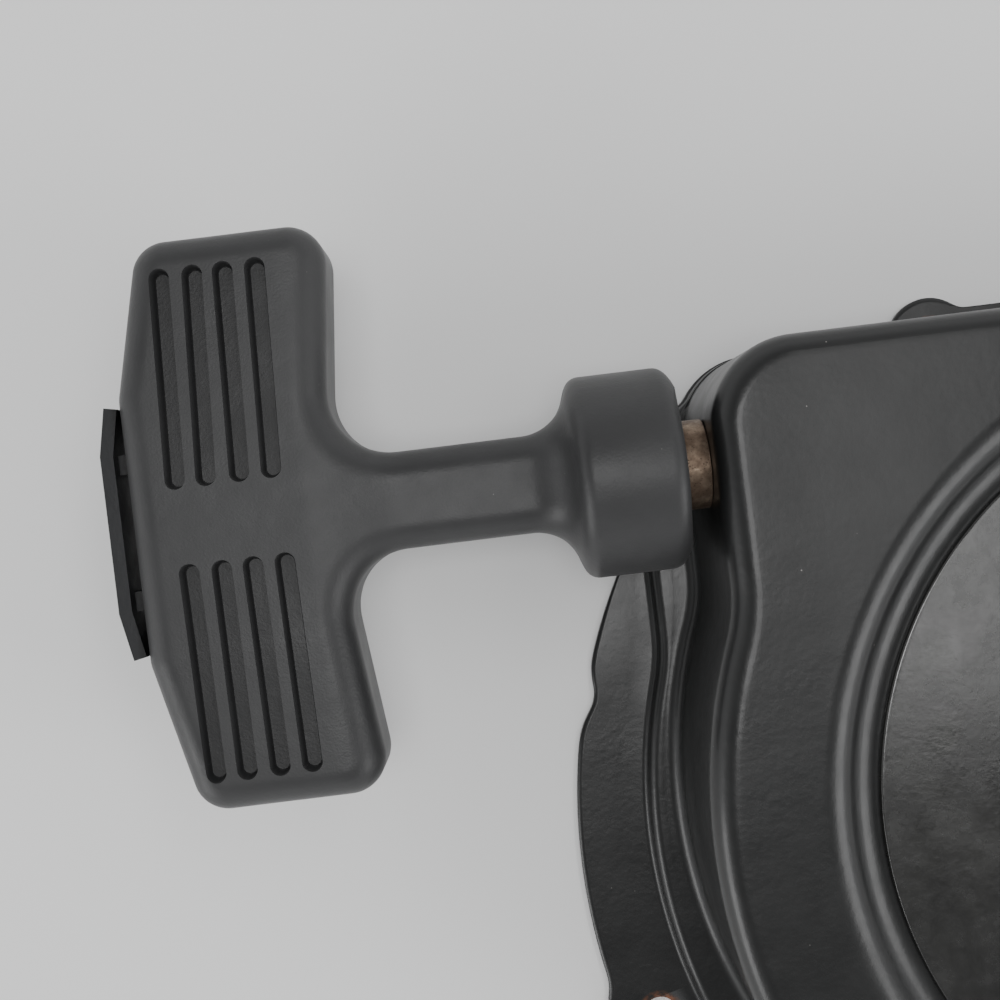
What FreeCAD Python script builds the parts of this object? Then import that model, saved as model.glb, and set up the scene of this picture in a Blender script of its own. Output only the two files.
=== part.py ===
"""Recoil (pull) starter: stamped housing, sprung reel, pawls, rope and T-handle.

Frame: origin on the reel axis in the plane of the flange's underside, +Z out through the
housing's face, rope line parallel to X with the handle on the -X side.  Millimetres.
"""
import FreeCAD, Part
import math
import os

import Sketcher
from FreeCAD import Placement, Rotation, Vector

doc = FreeCAD.newDocument("recoil_starter")

# ------------------------------------------------------------------ driving dimensions

DIMENSIONS = [
    ("sheet_gauge", 1.5, "thickness of the stamped steel"),
    ("face_height", 38.0, "flange underside to the flat top face"),
    ("drum_radius", 85.4, "outside of the round wall"),
    ("flat_wall_y", 74.7, "outside of the flat wall beside the rope"),
    ("outlet_wall_x", 78.2, "outside of the end wall that the rope leaves by"),
    ("outlet_corner", 13.3, "corner radius between the end wall and the flat wall"),
    ("outlet_blend", 25.0, "hollow radius between the round wall and the end wall"),
    ("flat_blend", 18.0, "corner radius at the flat wall's other end"),
    ("top_edge", 4.0, "rounding of the top edge"),
    ("ledge_radius", 91.3, "outside of the pressed step round the wall"),
    ("ledge_drop", 5.4, "step centre below the reel axis"),
    ("ledge_flat_width", -2.5, "step along the flat wall; below zero it lies inside the wall"),
    ("ledge_outlet_width", 8.0, "step in front of the end wall"),
    ("ledge_corner", 22.0, "corner radius of the step"),
    ("ledge_hollow", 30.0, "hollow radius of the step"),
    ("ledge_blend", 22.3, "corner radius of the step at the flat wall's other end"),
    ("ledge_height", 4.5, "height of the pressed step"),
    ("ledge_edge", 1.4, "rounding of the pressed step"),
    ("recess_lip_radius", 66.8, "recess radius at the face"),
    ("recess_floor_radius", 62.6, "recess radius at its floor"),
    ("recess_depth", 4.5, "face to recess floor"),
    ("recess_lip_round", 6.5, "rounding of the recess lip"),
    ("recess_floor_round", 6.0, "hollow at the recess floor"),
    ("flange_radius", 104.1, "radius of the mounting flange"),
    ("flange_drop", 9.3, "flange centre below the reel axis"),
    ("flange_flat_y", 79.0, "flange edge along the flat wall"),
    ("flange_outlet_y", 72.3, "flange edge beside the outlet"),
    ("flange_outlet_x", 84.5, "flange edge in front of the end wall"),
    ("flange_corner", 9.0, "flange corner radius at the outlet"),
    ("flange_round", 2.0, "rounding of every other corner of the flange"),
    ("notch_x", 102.5, "centre of the locating notch"),
    ("notch_y", 19.0, "centre of the locating notch"),
    ("notch_radius", 4.0, "locating notch"),
    ("bolt_hole_radius", 3.0, "bolt holes"),
    ("bolt_upper_x", 32.5, "upper bolt holes from the centre line"),
    ("bolt_upper_y", 74.2, "upper bolt holes"),
    ("bolt_lower_x", 93.6, "lower bolt holes from the centre line"),
    ("bolt_lower_y", 37.2, "lower bolt holes, below the centre line"),
    ("bolt_lobe_radius", 7.2, "rounded lobe round an upper bolt hole"),
    ("bolt_tab_radius", 9.4, "rounded tab round a lower bolt hole"),
    ("pocket_wall_radius", 6.2, "pocket in the flat wall for an upper bolt's head"),
    ("pocket_wall_top", 16.0, "top of that pocket's straight part"),
    ("badge_radius", 60.0, "blank disc in the recess"),
    ("badge_thick", 1.0, "thickness of the blank disc"),
    ("rope_radius", 2.5, "half of the rope's diameter"),
    ("rope_line_y", 57.2, "rope line from the reel axis"),
    ("rope_line_z", 24.4, "rope line above the flange underside"),
    ("rope_pitch", 5.2, "radial pitch of the wound turns"),
    ("reel_flange_radius", 66.0, "outside of the reel"),
    ("reel_flange_thick", 1.6, "each reel cheek"),
    ("reel_groove_half", 2.9, "rope line to the near face of each reel cheek"),
    ("reel_rib_thick", 1.6, "ribs under the lower cheek"),
    ("reel_rib_depth", 2.6, "ribs under the lower cheek"),
    ("reel_rim_outer", 36.0, "bottom of the rope groove"),
    ("reel_rim_inner", 33.5, "wall of the spring chamber"),
    ("reel_rim_top", 30.6, "top of the spring chamber wall"),
    ("reel_web_base", 15.0, "underside of the reel web"),
    ("reel_web_thick", 2.4, "reel web"),
    ("reel_hub_radius", 13.0, "outside of the reel hub"),
    ("reel_hub_base", 9.9, "lower end of the reel hub"),
    ("reel_hub_top", 29.4, "upper end of the reel hub"),
    ("reel_bush_radius", 10.0, "outside of the reel bush"),
    ("post_radius", 7.0, "journal of the centre post"),
    ("post_foot_radius", 15.0, "welded foot of the post"),
    ("post_foot_thick", 2.0, "welded foot of the post"),
    ("post_shoulder_z", 6.6, "shoulder above the threaded end"),
    ("post_thread_radius", 4.0, "M8 threaded end"),
    ("post_end_z", 0.4, "lower end of the threaded end"),
    ("running_gap", 0.05, "radial running clearance"),
    ("spring_outer_radius", 27.5, "outermost coil of the recoil spring"),
    ("spring_inner_radius", 14.2, "innermost coil of the recoil spring"),
    ("spring_strip", 0.6, "strip thickness"),
    ("spring_base_z", 18.2, "lower edge of the strip"),
    ("spring_width", 11.0, "strip width"),
    ("spring_hook", 2.6, "radius of the hook round the anchor pin"),
    ("anchor_radius", 2.2, "spring anchor pin"),
    ("pawl_pivot_radius", 25.0, "pawl pivots from the reel axis"),
    ("pawl_length", 21.0, "pivot to tip"),
    ("pawl_boss", 5.0, "boss radius round the pivot"),
    ("pawl_tip", 2.2, "rounding of the tip"),
    ("pawl_base_z", 11.0, "underside of the pawl"),
    ("pawl_thick", 3.8, "pawl thickness"),
    ("pawl_lean", 7.0, "degrees that a resting pawl leans inwards"),
    ("pawl_swing", 28.0, "degrees that a pawl swings out"),
    ("pawl_pin_radius", 2.5, "pawl pivot pin"),
    ("pawl_pin_end_z", 9.7, "lower end of the pivot pins"),
    ("stud_offset", 12.0, "drive stud from the pivot"),
    ("stud_radius", 1.7, "drive stud"),
    ("stud_end_z", 6.9, "lower end of the drive studs"),
    ("stud_play", 0.3, "clearance each side of a stud in its cam slot"),
    ("clip_radius", 4.4, "outside of a retaining clip"),
    ("clip_base_z", 10.1, "underside of a retaining clip"),
    ("clip_thick", 0.7, "retaining clip"),
    ("guide_radius", 33.0, "pawl guide"),
    ("guide_base_z", 7.6, "underside of the pawl guide"),
    ("guide_thick", 1.5, "pawl guide"),
    ("guide_turn", 30.0, "degrees of guide travel that swing the pawls fully"),
    ("guide_window", 4.0, "lightening holes in the pawl guide"),
    ("guide_window_reach", 21.0, "lightening holes from the reel axis"),
    ("nut_flats", 13.0, "across the flats of the nut"),
    ("nut_thick", 4.1, "nut"),
    ("post_washer_radius", 11.5, "washer above the nut"),
    ("bush_radius", 7.0, "rope guide bush, outside head"),
    ("bush_reach", 4.5, "bush head out of the end wall"),
    ("bush_bore", 2.9, "bore of the rope guide bush"),
    ("bush_inside", 3.0, "bush inwards of the end wall's outer face"),
    ("bush_edge", 0.8, "edges of the bush"),
    ("bar_half_length", 43.4, "half of the handle bar"),
    ("bar_half_thick", 9.5, "half of the bar's thickness"),
    ("bar_back_x", 166.3, "back of the bar"),
    ("bar_front_x", 137.0, "finger side of the bar at the stem"),
    ("bar_back_taper", 4.4, "how much further forward the bar's back is at its ends"),
    ("bar_back_flat", 19.5, "half of the untapered part of the bar's back"),
    ("bar_front_bow", 4.6, "how much further forward its finger side is at its ends"),
    ("bar_rim", 4.5, "rounding of the bar's long edges"),
    ("stem_width", 15.0, "stem across"),
    ("stem_corner", 4.5, "rounding of the stem's long edges"),
    ("collar_radius", 15.75, "collar"),
    ("collar_length", 16.0, "collar"),
    ("collar_edge", 2.3, "rounding of the collar"),
    ("flare_radius", 9.0, "hollow between stem and collar"),
    ("grip_bore", 4.3, "bore through the rubber"),
    ("pocket_radius", 6.5, "knot pocket"),
    ("pocket_depth", 14.3, "knot pocket"),
    ("sleeve_flange", 2.0, "flange of the sleeve outside the bore"),
    ("sleeve_length", 68.0, "hard sleeve in the rubber"),
    ("knot_radius", 5.6, "knot in the handle"),
    ("knot_length", 9.2, "knot in the handle"),
    ("washer_thick", 1.5, "washer under the knot"),
    ("assembly_gap", 0.01, "gap between pieces that touch"),
    ("slot_width", 3.1, "grip slots"),
    ("slot_length", 33.0, "grip slots"),
    ("slot_depth", 2.5, "grip slots"),
    ("slot_pitch", 4.8, "grip slots"),
    ("slot_inset", 8.6, "first slot from the bar's back"),
    ("slot_gap_half", 5.6, "near end of the slots from the rope line"),
    ("cap_x", 169.9, "outer face of the rear cap"),
    ("cap_thick", 2.0, "rear cap"),
    ("cap_flat", 24.0, "flat middle of the rear cap"),
    ("cap_length", 38.5, "whole rear cap"),
    ("cap_width", 13.0, "rear cap"),
    ("cap_bend", 11.0, "degrees that its ends are bent"),
    ("cap_leg_y", 10.5, "snap legs of the rear cap from its middle"),
    ("cap_leg_half_thick", 1.5, "snap legs"),
    ("cap_leg_half_width", 4.0, "snap legs"),
    ("cap_leg_reach", 7.0, "snap legs into the bar's back"),
]


def make_sheet():
    sheet = doc.addObject("Spreadsheet::Sheet", "dims")
    for row, (alias, value, note) in enumerate(DIMENSIONS, start=1):
        sheet.set("A%d" % row, alias)
        sheet.set("B%d" % row, str(value))
        sheet.set("C%d" % row, note)
        sheet.setAlias("B%d" % row, alias)
    doc.recompute()
    return sheet


SHEET = make_sheet()
PIECES = []


def dim(alias):
    return float(getattr(SHEET, alias))


def keep(obj, label):
    """Name an object as one physical piece of the assembly."""
    obj.Label = label
    PIECES.append(obj)
    return obj


# ------------------------------------------------------------------ PartDesign helpers

def origin_plane(body, role):
    return next(f for f in body.Origin.OriginFeatures if f.Role == role)


def new_body(label):
    return keep(doc.addObject("PartDesign::Body", label + "_body"), label)


def new_sketch(body, role, name, height=None):
    """Sketch on one of the body's own origin planes, raised by the expression height."""
    sketch = body.newObject("Sketcher::SketchObject", name)
    sketch.AttachmentSupport = [(origin_plane(body, role), "")]
    sketch.MapMode = "FlatFace"
    if height is not None:
        sketch.setExpression("AttachmentOffset.Base.z", height)
    return sketch


def turned(label, profile):
    """Body of revolution about Z; profile is (radius rule, height rule) for each corner."""
    body = new_body(label)
    sketch = new_sketch(body, "XZ_Plane", label + "_profile")
    corners = [tuple(float(evaluate(rule)) for rule in corner) for corner in profile]
    count = len(corners)
    for n in range(count):
        start, end = corners[n], corners[(n + 1) % count]
        sketch.addGeometry(Part.LineSegment(Vector(*start, 0), Vector(*end, 0)), False)
    for n in range(count):
        sketch.addConstraint(Sketcher.Constraint("Coincident", n, 2, (n + 1) % count, 1))
    for n, corner in enumerate(profile):
        for kind, rule in zip(("DistanceX", "DistanceY"), corner):
            value = float(evaluate(rule))
            index = sketch.addConstraint(Sketcher.Constraint(kind, -1, 1, n, 1, value))
            sketch.setExpression("Constraints[%d]" % index, bound(rule))
    revolution = body.newObject("PartDesign::Revolution", label + "_turned")
    revolution.Profile = sketch
    revolution.ReferenceAxis = (sketch, ["V_Axis"])
    revolution.Angle = 360.0
    doc.recompute()
    return body


def bound(rule):
    """Write a rule such as 'a + b' with each alias read from the sheet."""
    words = []
    for word in rule.split():
        words.append("dims." + word if word[0].isalpha() else word)
    return " ".join(words)


def evaluate(rule):
    """The present value of a rule: aliases, numbers, + - * and /, read left to right."""
    total = None
    sign = "+"
    for word in rule.split():
        if word in "+-*/":
            sign = word
            continue
        value = dim(word) if word[0].isalpha() else float(word)
        if total is None:
            total = value
        elif sign == "+":
            total += value
        elif sign == "-":
            total -= value
        elif sign == "*":
            total *= value
        else:
            total /= value
    return total


def shaped(label, shape):
    """A piece whose shape is made by Part's own functions."""
    feature = doc.addObject("Part::Feature", label)
    feature.Shape = shape
    return keep(feature, label)


def on_rope_line(body, distance_rule):
    """Lay a piece turned about Z along the rope line: its +Z points to -X."""
    body.Placement = Placement(Vector(), Rotation(Vector(0, 1, 0), -90))
    body.setExpression("Placement.Base.x", "-(" + bound(distance_rule) + ")")
    body.setExpression("Placement.Base.y", "dims.rope_line_y")
    body.setExpression("Placement.Base.z", "dims.rope_line_z")


# ------------------------------------------------------------------ Part helpers

def cylinder(radius, low, high, x=0.0, y=0.0):
    return Part.makeCylinder(radius, high - low, Vector(x, y, low))


def box(x0, x1, y0, y1, z0, z1):
    return Part.makeBox(x1 - x0, y1 - y0, z1 - z0, Vector(x0, y0, z0))


def edges_along_z(shape, x, y, reach=3.0):
    """The upright edges within reach of a point in plan."""
    found = []
    for edge in shape.Edges:
        ends = [v.Point for v in edge.Vertexes]
        if len(ends) != 2 or abs(ends[0].z - ends[1].z) < 0.5:
            continue
        if (ends[0] - ends[1]).cross(Vector(0, 0, 1)).Length > 1e-6:
            continue
        if math.hypot(ends[0].x - x, ends[0].y - y) < reach:
            found.append(edge)
    return found


def edges_at_height(shape, z, test=lambda point: True):
    """The edges that lie in the plane at z and whose middle passes the test."""
    found = []
    for edge in shape.Edges:
        box_z = edge.BoundBox
        if abs(box_z.ZMin - z) < 1e-4 and abs(box_z.ZMax - z) < 1e-4:
            middle = edge.valueAt((edge.FirstParameter + edge.LastParameter) / 2)
            if test(middle):
                found.append(edge)
    return found


def arc_point(centre, radius, degrees):
    angle = math.radians(degrees)
    return Vector(centre[0] + radius * math.cos(angle), centre[1] + radius * math.sin(angle), 0)


def arc_edge(centre, radius, start, sweep):
    """Arc in plan from a start angle through a signed sweep, in degrees."""
    points = [arc_point(centre, radius, start + sweep * part) for part in (0, 0.5, 1)]
    return Part.Arc(*points).toShape()


def spiral_arcs(radius, step, count, turn):
    """Half circles that start at the top and wind inwards, each step smaller in radius.

    Each is (centre, radius, start angle, sweep); turn is +1 anticlockwise, -1 clockwise.
    """
    arcs = []
    for n in range(count):
        centre = (0.0, 0.0) if n % 2 == 0 else (0.0, -step)
        start = 90.0 if n % 2 == 0 else 270.0
        arcs.append((centre, radius - n * step, start, 180.0 * turn))
    return arcs


def strip_solid(arcs, thickness, low, height):
    """Flat strip on edge that follows a chain of tangent arcs."""
    sides = []
    for side in (1, -1):
        edges = []
        for centre, radius, start, sweep in arcs:
            grow = side * math.copysign(thickness / 2, sweep)
            edges.append(arc_edge(centre, radius + grow, start, sweep))
        sides.append(edges)
    outer, inner = sides
    ends = []
    for place in (0, -1):
        point = 0 if place == 0 else -1
        a = edge_end(arcs[place], thickness / 2, point)
        b = edge_end(arcs[place], -thickness / 2, point)
        ends.append(Part.makeLine(a, b))
    wire = Part.Wire(Part.__sortEdges__(outer + inner + ends))
    solid = Part.Face(wire).extrude(Vector(0, 0, height))
    solid.translate(Vector(0, 0, low))
    return solid


def edge_end(arc, side, point):
    centre, radius, start, sweep = arc
    grow = math.copysign(1.0, sweep) * side
    return arc_point(centre, radius + grow, start if point == 0 else start + sweep)


def round_tube(path_edges, radius):
    """Solid round section along a chain of tangent edges."""
    path = Part.Wire(path_edges)
    first = path_edges[0]
    start = path.Vertexes[0].Point
    direction = first.tangentAt(first.FirstParameter)
    section = Part.Wire(Part.makeCircle(radius, start, direction))
    tube = path.makePipeShell([section], True, False)
    expected = path.Length * math.pi * radius ** 2
    if abs(tube.Volume / expected - 1) > 0.01:
        raise ValueError("tube volume %.1f, expected %.1f" % (tube.Volume, expected))
    return tube


# ------------------------------------------------------------------ housing

def plan_prism(radius, drop, flat, outlet, corner, hollow, shoulder, low, high):
    """Prism of a plan made of a round wall, an end wall at -X and a flat wall at +Y.

    The round wall's centre is at -drop; corner, hollow and shoulder round the end wall's two
    ends and the flat wall's far end.
    """
    reach = 2 * radius
    prism = cylinder(radius, low, high, 0, -drop)
    prism = prism.common(box(-reach, reach, -reach, flat, low, high))
    prism = prism.fuse(box(-outlet, 0, 0, flat, low, high)).removeSplitter()
    meeting = math.sqrt(radius ** 2 - outlet ** 2) - drop
    chord_end = math.sqrt(radius ** 2 - (flat + drop) ** 2)
    rounds = [((-outlet, flat), corner), ((-outlet, meeting), hollow),
              ((chord_end, flat), shoulder)]
    for (x, y), size in rounds:
        prism = prism.makeFillet(size, edges_along_z(prism, x, y))
    return prism


def wall_prism(inset, low, high):
    """The drum's plan, brought in by inset."""
    return plan_prism(dim("drum_radius") - inset, 0, dim("flat_wall_y") - inset,
                      dim("outlet_wall_x") - inset, dim("outlet_corner") - inset,
                      dim("outlet_blend") + inset, dim("flat_blend") - inset, low, high)


def ledge_prism(inset, low, high):
    """The pressed step's plan: wide round the drum, almost nothing along the flat wall."""
    return plan_prism(dim("ledge_radius") - inset, dim("ledge_drop"),
                      dim("flat_wall_y") + dim("ledge_flat_width") - inset,
                      dim("outlet_wall_x") + dim("ledge_outlet_width") - inset,
                      dim("ledge_corner") - inset, dim("ledge_hollow") + inset,
                      dim("ledge_blend") - inset, low, high)


def recess_tool(lip_radius, floor_radius, floor_z, top_z, lip_round, floor_round):
    """Turned tool that sinks the round recess, with its lip and floor rounded."""
    lean = math.atan2(lip_radius - floor_radius, top_z - floor_z)
    half_turn = (math.pi / 2 - lean) / 2
    run_floor = floor_round * math.tan(half_turn)
    run_lip = lip_round * math.tan(half_turn)
    up = Vector(math.sin(lean), 0, math.cos(lean))
    floor_corner = Vector(floor_radius, 0, floor_z)
    lip_corner = Vector(lip_radius, 0, top_z)
    a = floor_corner - Vector(run_floor, 0, 0)
    b = floor_corner + up * run_floor
    c = lip_corner - up * run_lip
    d = lip_corner + Vector(run_lip, 0, 0)
    floor_mid = arc_mid(a, b, floor_corner, floor_round)
    lip_mid = arc_mid(c, d, lip_corner, lip_round)
    above = Vector(0, 0, dim("sheet_gauge"))
    edges = [
        Part.makeLine(Vector(0, 0, floor_z), a), Part.Arc(a, floor_mid, b).toShape(),
        Part.makeLine(b, c), Part.Arc(c, lip_mid, d).toShape(),
        Part.makeLine(d, d + above), Part.makeLine(d + above, Vector(0, 0, top_z) + above),
        Part.makeLine(Vector(0, 0, top_z) + above, Vector(0, 0, floor_z)),
    ]
    return Part.Face(Part.Wire(edges)).revolve(Vector(), Vector(0, 0, 1), 360)


def arc_mid(start, end, corner, radius):
    """Middle of the arc of that radius that rounds a corner between start and end."""
    middle = (start + end) * 0.5
    half_chord = (end - start).Length / 2
    sagitta = radius - math.sqrt(radius ** 2 - half_chord ** 2)
    towards = (corner - middle)
    return middle + towards.normalize() * sagitta


def flange_plate():
    """Mounting flange: off-centre round rim, outlet corner, bolt lobes and a small notch."""
    gauge = dim("sheet_gauge")
    reach = 2 * dim("drum_radius")
    flat = dim("flange_flat_y")
    outlet_flat = dim("flange_outlet_y")
    plate = cylinder(dim("flange_radius"), 0, gauge, 0, -dim("flange_drop"))
    plate = plate.common(box(-reach, reach, -reach, flat, 0, gauge))
    plate = plate.cut(box(-reach, -dim("bolt_upper_x"), outlet_flat, flat + 1, -1, gauge + 1))
    corner = box(-dim("flange_outlet_x"), 0, dim("rope_line_y") / 2, outlet_flat, 0, gauge)
    corner = corner.makeFillet(dim("flange_corner"),
                               edges_along_z(corner, -dim("flange_outlet_x"), outlet_flat))
    bare = plate.cut(box(-reach, -dim("bolt_upper_x"), dim("rope_line_y"), flat, -1, gauge + 1))
    plate = bare.fuse(corner)
    for x, y in bolt_centres():
        radius = dim("bolt_lobe_radius") if y > 0 else dim("bolt_tab_radius")
        plate = plate.fuse(cylinder(radius, 0, gauge, x, y))
    notch = dim("notch_radius")
    plate = plate.cut(cylinder(notch, -1, gauge + 1, -dim("notch_x"), dim("notch_y")))
    plate = plate.removeSplitter()
    outline = min(plate.Faces, key=lambda face: face.CenterOfMass.z)
    soften = dim("flange_round")
    for grow in (-soften, 2 * soften, -soften):
        outline = outline.makeOffset2D(grow)
    return Part.Face(outline.OuterWire).extrude(Vector(0, 0, gauge))


def bolt_centres():
    upper = [(side * dim("bolt_upper_x"), dim("bolt_upper_y")) for side in (-1, 1)]
    lower = [(side * dim("bolt_lower_x"), -dim("bolt_lower_y")) for side in (-1, 1)]
    return upper + lower


def bolt_pocket(x, y, radius, low):
    """Upright pocket with a round top that makes room for a bolt head."""
    top = dim("pocket_wall_top")
    return cylinder(radius, low, top, x, y).fuse(Part.makeSphere(radius, Vector(x, y, top)))


def housing_shell():
    gauge = dim("sheet_gauge")
    height = dim("face_height")
    ledge = dim("ledge_height")
    floor_z = height - dim("recess_depth")

    def form(inset, low, top, ledge_top):
        """Solid bounded by one skin of the pressing."""
        body = wall_prism(inset, low, top)
        body = body.makeFillet(dim("top_edge") - inset, edges_at_height(body, top))
        step = ledge_prism(inset, low, ledge_top)
        step = step.makeFillet(dim("ledge_edge") - inset * 0.5, edges_at_height(step, ledge_top))
        return body.fuse(step)

    outer = form(0.0, 0.0, height, ledge)
    lip_round, floor_round = dim("recess_lip_round"), dim("recess_floor_round")
    outer = outer.cut(recess_tool(dim("recess_lip_radius"), dim("recess_floor_radius"),
                                  floor_z, height, lip_round, floor_round))
    inner = form(gauge, -1.0, height - gauge, ledge - gauge)
    inner = inner.cut(recess_tool(dim("recess_lip_radius") + gauge,
                                  dim("recess_floor_radius") + gauge, floor_z - gauge,
                                  height - gauge, lip_round - gauge, floor_round + gauge))
    for x, y in bolt_centres()[:2]:
        outer = outer.cut(bolt_pocket(x, y, dim("pocket_wall_radius"), gauge))
        inner = inner.cut(bolt_pocket(x, y, dim("pocket_wall_radius") + gauge, -gauge))
    shell = outer.fuse(flange_plate()).cut(inner)
    for x, y in bolt_centres():
        shell = shell.cut(cylinder(dim("bolt_hole_radius"), -1, gauge + 1, x, y))
    outlet = Part.makeCylinder(outlet_hole_radius(), 4 * gauge,
                               Vector(-dim("outlet_wall_x") - gauge, dim("rope_line_y"),
                                      dim("rope_line_z")), Vector(1, 0, 0))
    return shaped("housing_shell", shell.cut(outlet).removeSplitter())


def outlet_hole_radius():
    return dim("bush_radius") - dim("sheet_gauge")


def badge_disc():
    floor = "face_height - recess_depth"
    return turned("badge_disc", [
        ("0.01", floor), ("badge_radius", floor), ("badge_radius", floor + " + 0.6"),
        ("badge_radius - 0.4", floor + " + badge_thick"), ("0.01", floor + " + badge_thick")])


# ------------------------------------------------------------------ reel axis pieces

def centre_post():
    under_floor = "face_height - recess_depth - sheet_gauge"
    return turned("centre_post", [
        ("0.01", "post_end_z"), ("post_thread_radius - 0.6", "post_end_z"),
        ("post_thread_radius", "post_end_z + 0.6"), ("post_thread_radius", "post_shoulder_z"),
        ("post_radius - 0.3", "post_shoulder_z"), ("post_radius", "post_shoulder_z + 0.3"),
        ("post_radius", under_floor + " - post_foot_thick"),
        ("post_foot_radius", under_floor + " - post_foot_thick"),
        ("post_foot_radius", under_floor), ("0.01", under_floor)])


def reel_bush():
    return turned("reel_bush", [
        ("post_radius + running_gap", "reel_hub_base + 0.2"),
        ("reel_bush_radius", "reel_hub_base + 0.2"),
        ("reel_bush_radius", "reel_hub_top - 0.2"),
        ("post_radius + running_gap", "reel_hub_top - 0.2")])


def thrust_washer():
    return turned("thrust_washer", [
        ("post_radius + running_gap", "guide_base_z + guide_thick + 0.1"),
        ("reel_hub_radius - 0.5", "guide_base_z + guide_thick + 0.1"),
        ("reel_hub_radius - 0.5", "reel_hub_base - 0.1"),
        ("post_radius + running_gap", "reel_hub_base - 0.1")])


def brake_spring():
    """Coned spring washer that drags on the pawl guide."""
    return turned("brake_spring", [
        ("post_radius + 0.3", "post_shoulder_z"), ("post_radius + 0.9", "post_shoulder_z"),
        ("post_washer_radius - 0.5", "guide_base_z - 0.55"),
        ("post_washer_radius - 0.5", "guide_base_z - 0.1"),
        ("post_washer_radius - 1.1", "guide_base_z - 0.1"),
        ("post_radius + 0.3", "post_shoulder_z + 0.45")])


def post_washer():
    return turned("post_washer", [
        ("post_thread_radius + 0.2", "post_end_z + 0.6 + nut_thick"),
        ("post_washer_radius", "post_end_z + 0.6 + nut_thick"),
        ("post_washer_radius", "post_shoulder_z"),
        ("post_thread_radius + 0.2", "post_shoulder_z")])


def retaining_nut():
    """Thin hexagon nut with its corners turned off."""
    prism = doc.addObject("Part::Prism", "nut_prism")
    prism.Polygon = 6
    prism.setExpression("Circumradius", "dims.nut_flats / sqrt(3)")
    prism.setExpression("Height", "dims.nut_thick")
    turned_cone = doc.addObject("Part::Cone", "nut_turning")
    turned_cone.setExpression("Radius1", "dims.nut_flats / 2 - 0.1")
    turned_cone.setExpression("Radius2", "dims.nut_flats / 2 + 7")
    turned_cone.setExpression("Height", "dims.nut_thick")
    body = doc.addObject("Part::Common", "nut_body")
    body.Base, body.Tool = prism, turned_cone
    hole = doc.addObject("Part::Cylinder", "nut_hole")
    hole.setExpression("Radius", "dims.post_thread_radius")
    hole.setExpression("Height", "dims.nut_thick")
    nut = doc.addObject("Part::Cut", "nut_cut")
    nut.Base, nut.Tool = body, hole
    nut.setExpression("Placement.Base.z", "dims.post_end_z + 0.6")
    return keep(nut, "retaining_nut")


def spring_anchor():
    anchor = doc.addObject("Part::Cylinder", "anchor_pin")
    anchor.setExpression("Radius", "dims.anchor_radius")
    under_floor = "dims.face_height - dims.recess_depth - dims.sheet_gauge"
    anchor.setExpression("Height", under_floor + " - (dims.spring_base_z - 0.2)")
    anchor.setExpression("Placement.Base.y", "dims.spring_outer_radius + dims.spring_hook")
    anchor.setExpression("Placement.Base.z", "dims.spring_base_z - 0.2")
    return keep(anchor, "spring_anchor")


SPRING_HALF_TURNS = 25
INNER_HOOK_RADIUS = 1.6


def recoil_spring():
    """Spiral strip: hooked round the anchor pin outside and into the hub's notch inside."""
    outer = dim("spring_outer_radius")
    inner = dim("spring_inner_radius")
    step = (outer - inner) / (SPRING_HALF_TURNS - 1)
    hook_centre = (0.0, outer + dim("spring_hook"))
    arcs = [(hook_centre, dim("spring_hook"), 150.0, -240.0)]
    arcs += spiral_arcs(outer, step, SPRING_HALF_TURNS, 1)
    arcs.append(((0.0, -inner + INNER_HOOK_RADIUS), INNER_HOOK_RADIUS, 270.0, 105.0))
    solid = strip_solid(arcs, dim("spring_strip"), dim("spring_base_z"), dim("spring_width"))
    return shaped("recoil_spring", solid)


def reel():
    """Reel: hub, web, spring chamber wall and two cheeks, with ribs under the lower one."""
    low_cheek = "rope_line_z - reel_groove_half"
    high_cheek = "rope_line_z + reel_groove_half"
    below = low_cheek + " - reel_flange_thick"
    above = high_cheek + " + reel_flange_thick"
    return turned("reel", [
        ("reel_bush_radius", "reel_hub_base"), ("reel_hub_radius", "reel_hub_base"),
        ("reel_hub_radius", "reel_web_base"), ("reel_rim_outer", "reel_web_base"),
        ("reel_rim_outer", below), ("reel_flange_radius", below),
        ("reel_flange_radius", low_cheek), ("reel_rim_outer", low_cheek),
        ("reel_rim_outer", high_cheek), ("reel_flange_radius", high_cheek),
        ("reel_flange_radius", above), ("reel_rim_outer", above),
        ("reel_rim_outer", "reel_rim_top"), ("reel_rim_inner", "reel_rim_top"),
        ("reel_rim_inner", "reel_web_base + reel_web_thick"),
        ("reel_hub_radius", "reel_web_base + reel_web_thick"),
        ("reel_hub_radius", "reel_hub_top"), ("reel_bush_radius", "reel_hub_top")])


REEL_RIBS = 12


def reel_ribs(body):
    base = "dims.rope_line_z - dims.reel_groove_half - dims.reel_flange_thick"
    sketch = new_sketch(body, "XY_Plane", "rib_plan", base)
    inner, outer = dim("reel_rim_outer") - 0.5, dim("reel_flange_radius") - 2.0
    half = dim("reel_rib_thick") / 2
    rectangle(sketch, inner, outer, -half, half)
    pad = body.newObject("PartDesign::Pad", "rib")
    pad.Profile = sketch
    pad.setExpression("Length", "dims.reel_rib_depth")
    pad.Reversed = True
    doc.recompute()
    ring = body.newObject("PartDesign::PolarPattern", "ribs")
    ring.Originals = [pad]
    ring.Axis = (sketch, ["N_Axis"])
    ring.Angle = 360.0
    ring.Occurrences = REEL_RIBS
    body.Tip = ring
    doc.recompute()


def rectangle(sketch, x0, x1, y0, y1):
    corners = [Vector(x0, y0, 0), Vector(x1, y0, 0), Vector(x1, y1, 0), Vector(x0, y1, 0)]
    for n in range(4):
        sketch.addGeometry(Part.LineSegment(corners[n], corners[(n + 1) % 4]), False)


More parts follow.
